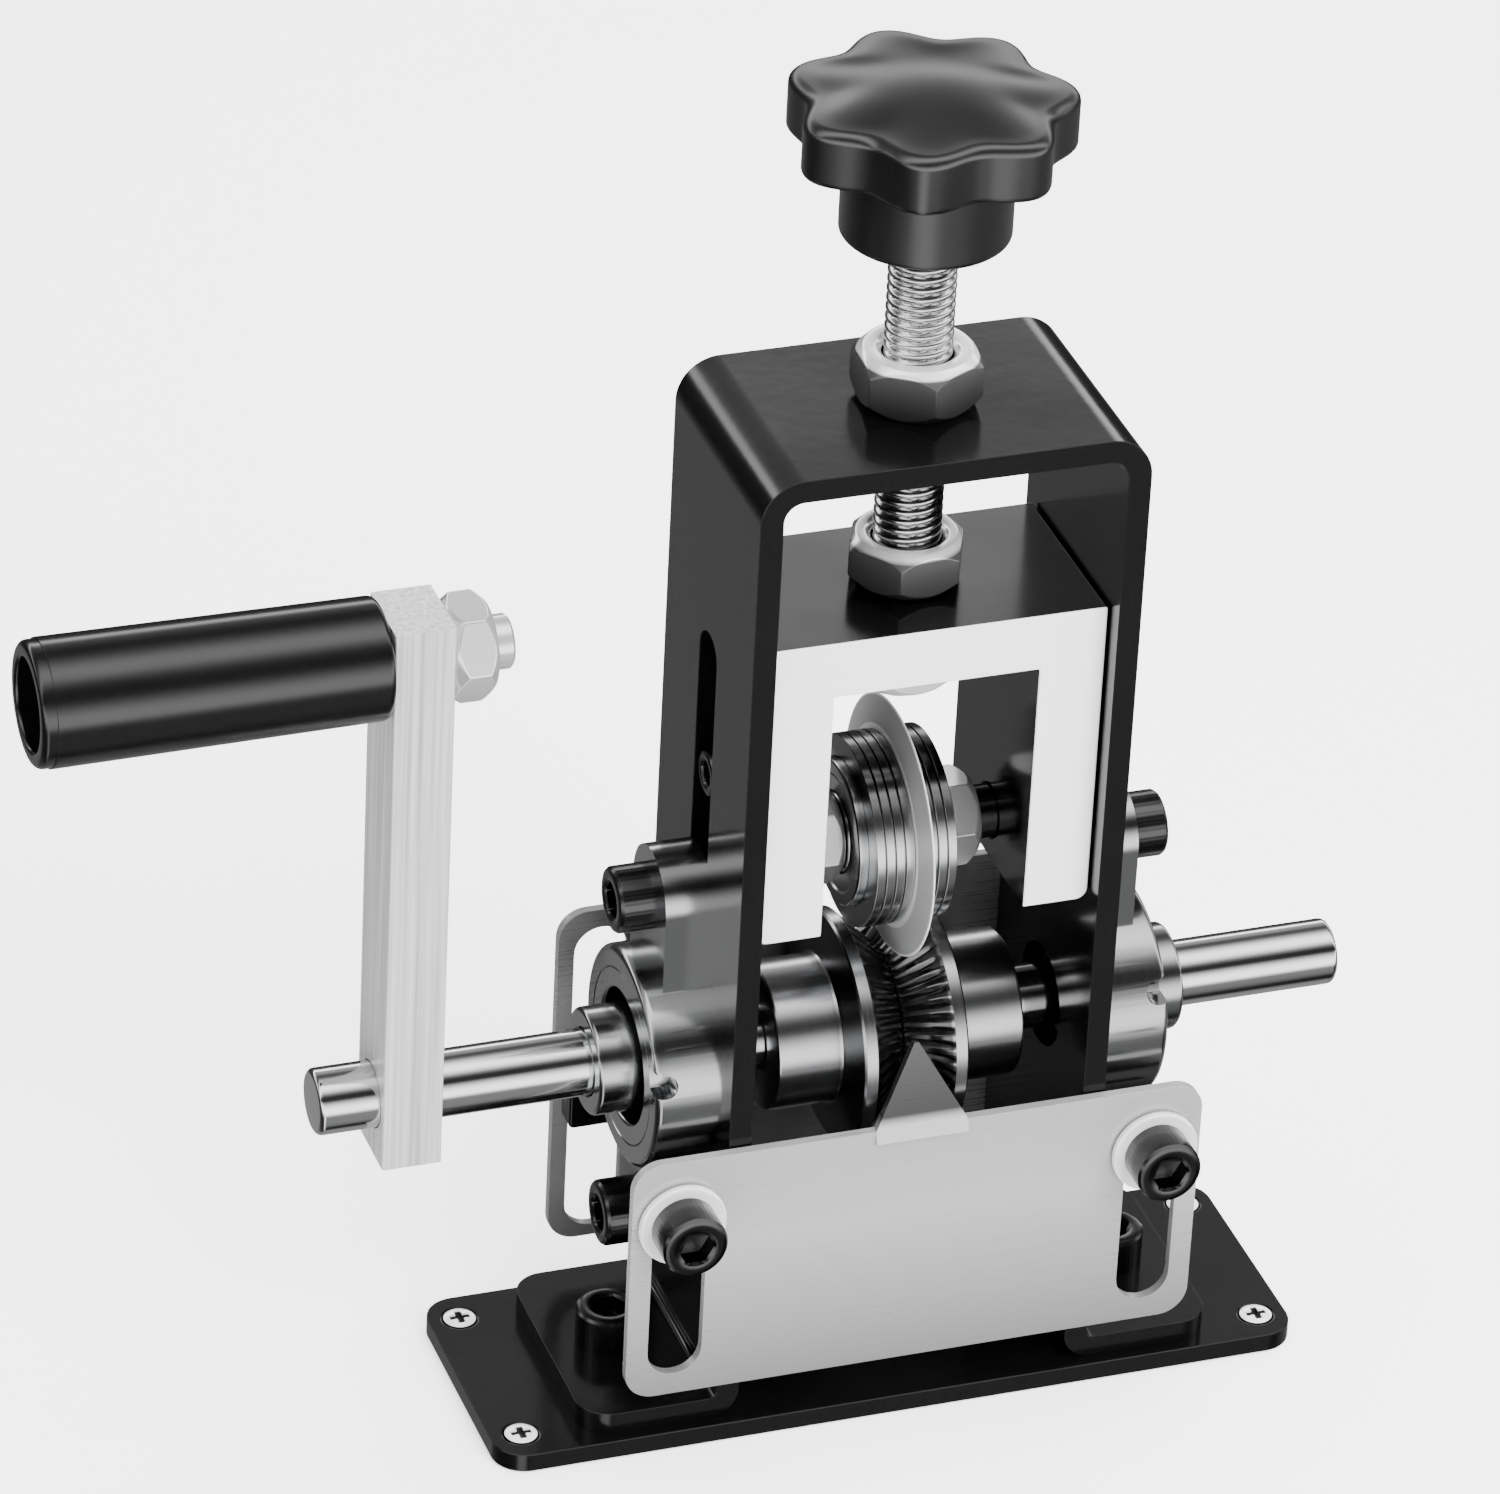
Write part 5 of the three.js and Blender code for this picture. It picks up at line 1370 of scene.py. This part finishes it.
@dataclass
class LeadScrew:
    """The threaded rod with its collar and retaining nuts, and the star knob on top."""

    radius: float = 5.0
    pitch: float = 1.5
    thread_depth: float = 0.6
    bottom: float = 115.0
    top: float = 206.7
    thread_end: float = 192.0
    knob_bottom: float = 189.0
    bore: float = 5.2
    bore_depth: float = 18.0
    hub: float = 12.35
    skirt_bottom: float = 202.1
    skirt_top: float = 211.0
    lobe: float = 21.0
    valley: float = 17.8
    lobes: int = 7
    lobe_turn: float = 41.0
    crown: float = 17.5
    rim: float = 1.8
    dome_height: float = 2.6
    nut: float = 16.0
    nut_turn: float = 6.7
    collar_nut: tuple[float, float] = (133.1, 140.6)
    retaining_nut: tuple[float, float] = (117.1, 123.5)

    def rod(self) -> Skin:
        """The threaded rod.

        With p the place in a turn, from 0 at the root to 1 at the next root, the radius is the outer
        one less the depth times (1 - sin(pi * p)) to a power that rounds the crest and narrows the
        root. Both ends taper to a cone.

        Returns:
            The skin.
        """
        angle = np.linspace(0, FULL_TURN, 64, endpoint=False)[None, :]
        along = np.arange(self.bottom, self.thread_end, self.pitch / 10)[:, None]
        place = (along / self.pitch - angle / FULL_TURN) % 1
        radius = self.radius - self.thread_depth * (1 - np.sin(math.pi * place)) ** 1.25
        start = np.clip((along - self.bottom) / 1.2, 0, 1)
        radius = np.minimum(radius, self.radius - 1.1 + 1.1 * start)
        core = self.radius - 0.5
        rows = [(0, self.bottom), *zip(radius, along[:, 0]), (core, self.thread_end + 0.2), (core, self.top),
                (0, self.top)]
        return swept_rows(rows, angle[0], Axis.Z)

    def knob(self) -> Skin:
        """The star knob.

        The star's radius is the mean of lobe and valley plus half their difference times
        cos(lobes * (angle - turn)). The rim's rows follow a quarter circle below and above. The crown's
        rows pass from the star to a circle and rise by (1 - r**2) ** 1.6, with r from 1 at the rim to 0.

        Returns:
            The skin.
        """
        angle = np.linspace(0, FULL_TURN, 336, endpoint=False)
        swing, mean = (self.lobe - self.valley) / 2, (self.lobe + self.valley) / 2
        star = mean + swing * np.cos(self.lobes * (angle - math.radians(self.lobe_turn)))
        low, high, hub, base = self.skirt_bottom, self.skirt_top, self.hub, self.knob_bottom
        top, bore = base + self.bore_depth, self.bore
        bend = np.radians(np.linspace(0, 90, 9))
        rows = [(0, top), (bore, top), (bore, base + 0.6), (bore + 0.6, base), (hub - 1.0, base)]
        rows += [(hub - 0.9 * (1 - math.sin(a)), base + 0.9 * (1 - math.cos(a))) for a in bend]
        rows += [(hub, low - 1.2), (hub + 0.15, low - 0.5), (hub + 0.5, low - 0.12), (hub + 1.0, low)]
        rows += [((hub + 1) * (1 - s) + (star - 1.1) * s, low) for s in (0.33, 0.66)]
        rows += [(star - 1.0 + np.sin(a), low + 1.0 - np.cos(a)) for a in bend]
        rows += [(star - self.rim * (1 - math.cos(a)), high - self.rim * (1 - math.sin(a))) for a in bend]
        for share in np.linspace(0, 1, 22)[1:]:
            pull = np.clip(1.6 * share, 0, 1)
            pull = pull * pull * (3 - 2 * pull)
            edge = (star - self.rim) * (1 - pull) + self.crown * pull
            rows.append((edge * (1 - share), high + self.dome_height * (1 - (1 - share) ** 2) ** 1.6))
        return swept_rows(rows, angle, Axis.Z)

    def build(self, shop: Workshop) -> None:
        """Makes the rod, its nuts and the knob.

        Args:
            shop: Makes the pieces.
        """
        rod_steel = Metal((0.7, 0.705, 0.71), 0.18, grain=Grain.ROUND_Z)
        nut_steel = replace(FINISHES["zinc"], colour=(0.8, 0.805, 0.81), metallic=0.65)
        shop.add("lead_screw", self.rod(), rod_steel, sharp=60)
        # The collar nut's colour is painted near black on its sides, with its top face left light: painted
        # shade
        collar_nut_painted_shade = ((133, 0.06), (137, 0.09), (139.4, 0.12), (139.9, 1.0), (141, 1.0))
        collar_steel = replace(nut_steel, painted_light_ramp=collar_nut_painted_shade)
        for node, ends, finish, bevel in (("collar_nut", self.collar_nut, collar_steel, 0.2),
                                          ("retaining_nut", self.retaining_nut, nut_steel, 0.14)):
            nut = hex_nut(self.nut, ROD_NUT_BORE, Axis.Z, *ends, self.nut_turn)
            shop.add(node, nut, finish, bevel=bevel)
        shop.add("knob", self.knob())


@dataclass
class GuidePlates:
    """The slotted sheet plates in front of and behind the rollers."""

    near: float = 19.3
    far: float = 20.8
    slot_width: float = 8.4
    corner: float = 4.5
    front_width: float = 89.0
    front_bottom: float = 10.0
    front_top: float = 51.2
    front_slots: tuple[float, float] = (13.6, 46.0)
    rear_width: float = 87.6
    rear_bottom: float = 11.8
    rear_top: float = 70.2
    rear_slots: tuple[float, float] = (13.8, 67.1)
    notch: float = 14.0
    notch_bottom: float = 58.2
    hole: float = 4.5
    hole_height: float = 49.0
    lean: float = 20.0
    tongue_length: float = 12.6
    tongue_half: float = 7.2

    def slots(self, bottom: float, top: float) -> list[Skin]:
        """The two upright slots as cutting shapes."""
        outlines = (slot_outline(self.slot_width, bottom, top, heading * LUG_SPREAD) for _, heading in SIDES)
        return [pushed(outline, Axis.Y, -THROUGH, THROUGH) for outline in outlines]

    def tongue(self) -> Skin:
        """The front plate's pointed tongue, a triangle of sheet that leans back.

        Returns:
            The skin.
        """
        lean, length, half = math.radians(self.lean), self.tongue_length, self.tongue_half
        sheet, tip, root = 1.5, 0.35, -2.0
        outline = np.array([(-half, root), (half, root), (half, 0), (tip, length), (-tip, length),
                            (-half, 0)])
        depth, rise = np.array([[0.0], [sheet]]), outline[None, :, 1]
        y = -self.far + depth * math.cos(lean) + rise * math.sin(lean)
        z = self.front_top - sheet * math.sin(lean) + rise * math.cos(lean) - (depth - sheet) * math.sin(lean)
        points = np.stack(np.broadcast_arrays(outline[None, :, 0], y, z), -1)
        return grid_skin(points, wrap_rows=False, caps=True)

    def build(self, shop: Workshop) -> None:
        """Makes both plates.

        Args:
            shop: Makes the pieces.
        """
        outline = plate_outline(self.front_width, self.front_bottom, self.front_top, self.corner)
        front = pushed(outline, Axis.Y, -self.far, -self.near)
        steel = FINISHES["stainless"]
        # The front plate's colour is painted darker towards its bottom and lighter across its middle, and its
        # tongue painted near black: painted shade and a painted highlight
        plate_steel_painted_light = replace(steel, painted_light_ramp=((8, 0.5), (24, 0.85), (36, 1.12), (50, 1.0), (51.6, 1.0), (53, 0.07),
                                     (64, 0.14)))
        cuts = self.slots(*self.front_slots)
        shop.add("front_guide_plate", front, plate_steel_painted_light, bevel=0.3, cuts=cuts, joins=[self.tongue()])
        outline = plate_outline(self.rear_width, self.rear_bottom, self.rear_top, self.corner)
        rear = pushed(outline, Axis.Y, self.near, self.far)
        cuts, across = self.slots(*self.rear_slots), (15, 25)
        cuts += [pushed(slot_outline(self.notch, self.notch_bottom, 90), Axis.Y, *across),
                 bar(self.hole, Axis.Y, *across, (0, 0, self.hole_height))]
        # The rear plate is the same stainless with its colour painted much darker: painted shade
        dark = replace(steel, colour=(0.17, 0.17, 0.17), metallic=0.35)
        shop.add("rear_guide_plate", rear, dark, bevel=0.3, cuts=cuts)


# Studio


@dataclass
class Studio:
    """The pale floor, the soft lights and the camera at the photograph's view."""

    azimuth: float = -20.323
    elevation: float = 31.253
    roll: float = 2.925
    lens: float = 212.76
    target: tuple = (-22.286, 0.0, 107.459)
    distance: float = 1282.725
    room_strength: float = 1.0
    panels_over: tuple = (
        (-80, 0.05), (-8, 0.05), (12, 0.08), (16, 0.3), (19, 4.2), (26, 4.2), (28.5, 0.55), (35, 0.5),
        (44, 0.36), (54, 0.08), (65, 0.15), (75, 0.7), (85, 1.8), (95, 3.0), (109, 3.0), (119, 1.4),
        (128, 0.3), (138, 0.03), (151, 0.03), (159, 0.6), (169, 1.9), (180, 3.2), (194, 3.2), (206, 1.6),
        (218, 0.5), (232, 0.12), (265, 0.06))
    panels_below: tuple = (
        (0, 0.3), (35, 0.35), (100, 0.34), (112, 0.29), (150, 0.08), (195, 0.02), (228, 0.1), (240, 1.9),
        (258, 1.9), (270, 0.1), (282, 0.3), (296, 0.28), (310, 0.02), (328, 0.02), (348, 0.24), (358, 0.3))

    def add_camera(self) -> None:
        """Places the camera: its back axis from the two angles, then the roll about it."""
        az, el, roll = (math.radians(v) for v in (self.azimuth, self.elevation, self.roll))
        back = np.array([math.sin(az) * math.cos(el), -math.cos(az) * math.cos(el), math.sin(el)])
        level = np.array([math.cos(az), math.sin(az), 0.0])
        upright = np.cross(back, level)
        right = level * math.cos(roll) + upright * math.sin(roll)
        up = upright * math.cos(roll) - level * math.sin(roll)
        data = bpy.data.cameras.new("camera")
        data.lens, data.sensor_width = self.lens, 36.0
        data.clip_start, data.clip_end = 0.05, 20.0
        camera = bpy.data.objects.new("camera", data)
        bpy.context.scene.collection.objects.link(camera)
        turn = Matrix(np.stack([right, up, back], 1).tolist()).to_4x4()
        spot = (np.array(self.target) + back * self.distance) * MM
        camera.matrix_world = Matrix.Translation(spot.tolist()) @ turn
        bpy.context.scene.camera = camera

    def add_light(self, name: str, spot: Spot, size: tuple, power: float, aim: Spot = (0, 0, 90)) -> None:
        """Adds an area light that only lights matt surfaces; the room's panels make the reflections.

        Args:
            name: Its name.
            spot: Where it hangs, in millimetres.
            size: Its width and height, in metres.
            power: In watts.
            aim: What it points at, in millimetres.
        """
        data = bpy.data.lights.new(name, "AREA")
        data.shape, data.size, data.size_y, data.energy = "RECTANGLE", size[0], size[1], power
        light = bpy.data.objects.new(name, data)
        bpy.context.scene.collection.objects.link(light)
        light.visible_glossy = False
        light.visible_camera = False
        way = Vector(np.subtract(aim, spot).tolist())
        turn = way.to_track_quat("-Z", "Y").to_matrix().to_4x4()
        light.matrix_world = Matrix.Translation([MM * v for v in spot]) @ turn

    def add_floor(self) -> None:
        """Adds the pale floor, which mirrors in nothing, as a matt card wouldn't."""
        size, drop = 6.0, -0.0002
        corners = [(-size, -size, drop), (size, -size, drop), (size, size, drop), (-size, size, drop)]
        mesh = bpy.data.meshes.new("floor")
        mesh.from_pydata(corners, [], [[0, 1, 2, 3]])
        floor = bpy.data.objects.new("floor", mesh)
        bpy.context.scene.collection.objects.link(floor)
        floor.visible_glossy = False
        material = bpy.data.materials.new("floor_card")
        shader = Shader(material)
        shader.cover({"Base Color": (0.9, 0.9, 0.9), "Roughness": 0.8, "Specular IOR Level": 0.0,
                      "Emission Color": (1.0, 1.0, 1.0), "Emission Strength": 1.2})
        mesh.materials.append(material)

    def add_room(self) -> None:
        """Adds the room: soft panels and dark gaps that shiny surfaces mirror.

        Above the floor the brightness is a ramp over the angle in the upright plane across the
        shaft, from the back over the top to the front. Below it, it is a ramp over the compass
        angle. The two blend just under the horizon.
        """
        world = bpy.data.worlds.new("room")
        bpy.context.scene.world = world
        shader = Shader(world)
        source = shader.node("ShaderNodeTexCoord").outputs["Generated"]
        x, y, z = shader.split(source)
        over = (z.math("ARCTAN2", y) / FULL_TURN + 1.25).math("FRACT")
        compass = (y.math("ARCTAN2", x) / FULL_TURN + 1.0).math("FRACT")
        upper = shader.ramp(over, [((angle / 360 + 0.25) % 1, shade) for angle, shade in self.panels_over])
        lower = shader.ramp(compass, [(angle % 360 / 360, shade) for angle, shade in self.panels_below])
        blend = shader.node("ShaderNodeMapRange", inputs={0: z, 1: -0.25, 2: -0.45})
        mixed = shader.mixed(blend.outputs[0], upper, lower)
        panels = shader.node("ShaderNodeBackground", inputs={0: mixed, 1: self.room_strength})
        plain = shader.node("ShaderNodeBackground", inputs={0: (0.9, 0.9, 0.9), 1: 1.0})
        seen = shader.node("ShaderNodeLightPath").outputs["Is Camera Ray"]
        both = shader.node("ShaderNodeMixShader", inputs={0: seen, 1: panels.outputs[0], 2: plain.outputs[0]})
        shader.node("ShaderNodeOutputWorld", inputs={0: both.outputs[0]})

    def build(self) -> None:
        """Makes the camera, the lights, the floor and the room."""
        self.add_camera()
        self.add_light("key", (350, -950, 850), (0.9, 0.9), 50)
        self.add_light("overhead", (200, 300, 1400), (1.4, 1.4), 52)
        self.add_floor()
        self.add_room()


def main() -> None:
    """Builds the studio and every sub-assembly."""
    logging.basicConfig(level=logging.INFO, format="%(name)s %(message)s")
    Studio().build()
    shop = Workshop()
    for assembly in (BasePlate(), Frame(), PlateFixings(), BearingHousings(), DriveShaft(), Crank(),
                     Carriage(), BladeStack(), LeadScrew(), GuidePlates()):
        log.info("building %s", type(assembly).__name__)
        assembly.build(shop)


if __name__ == "__main__":
    main()
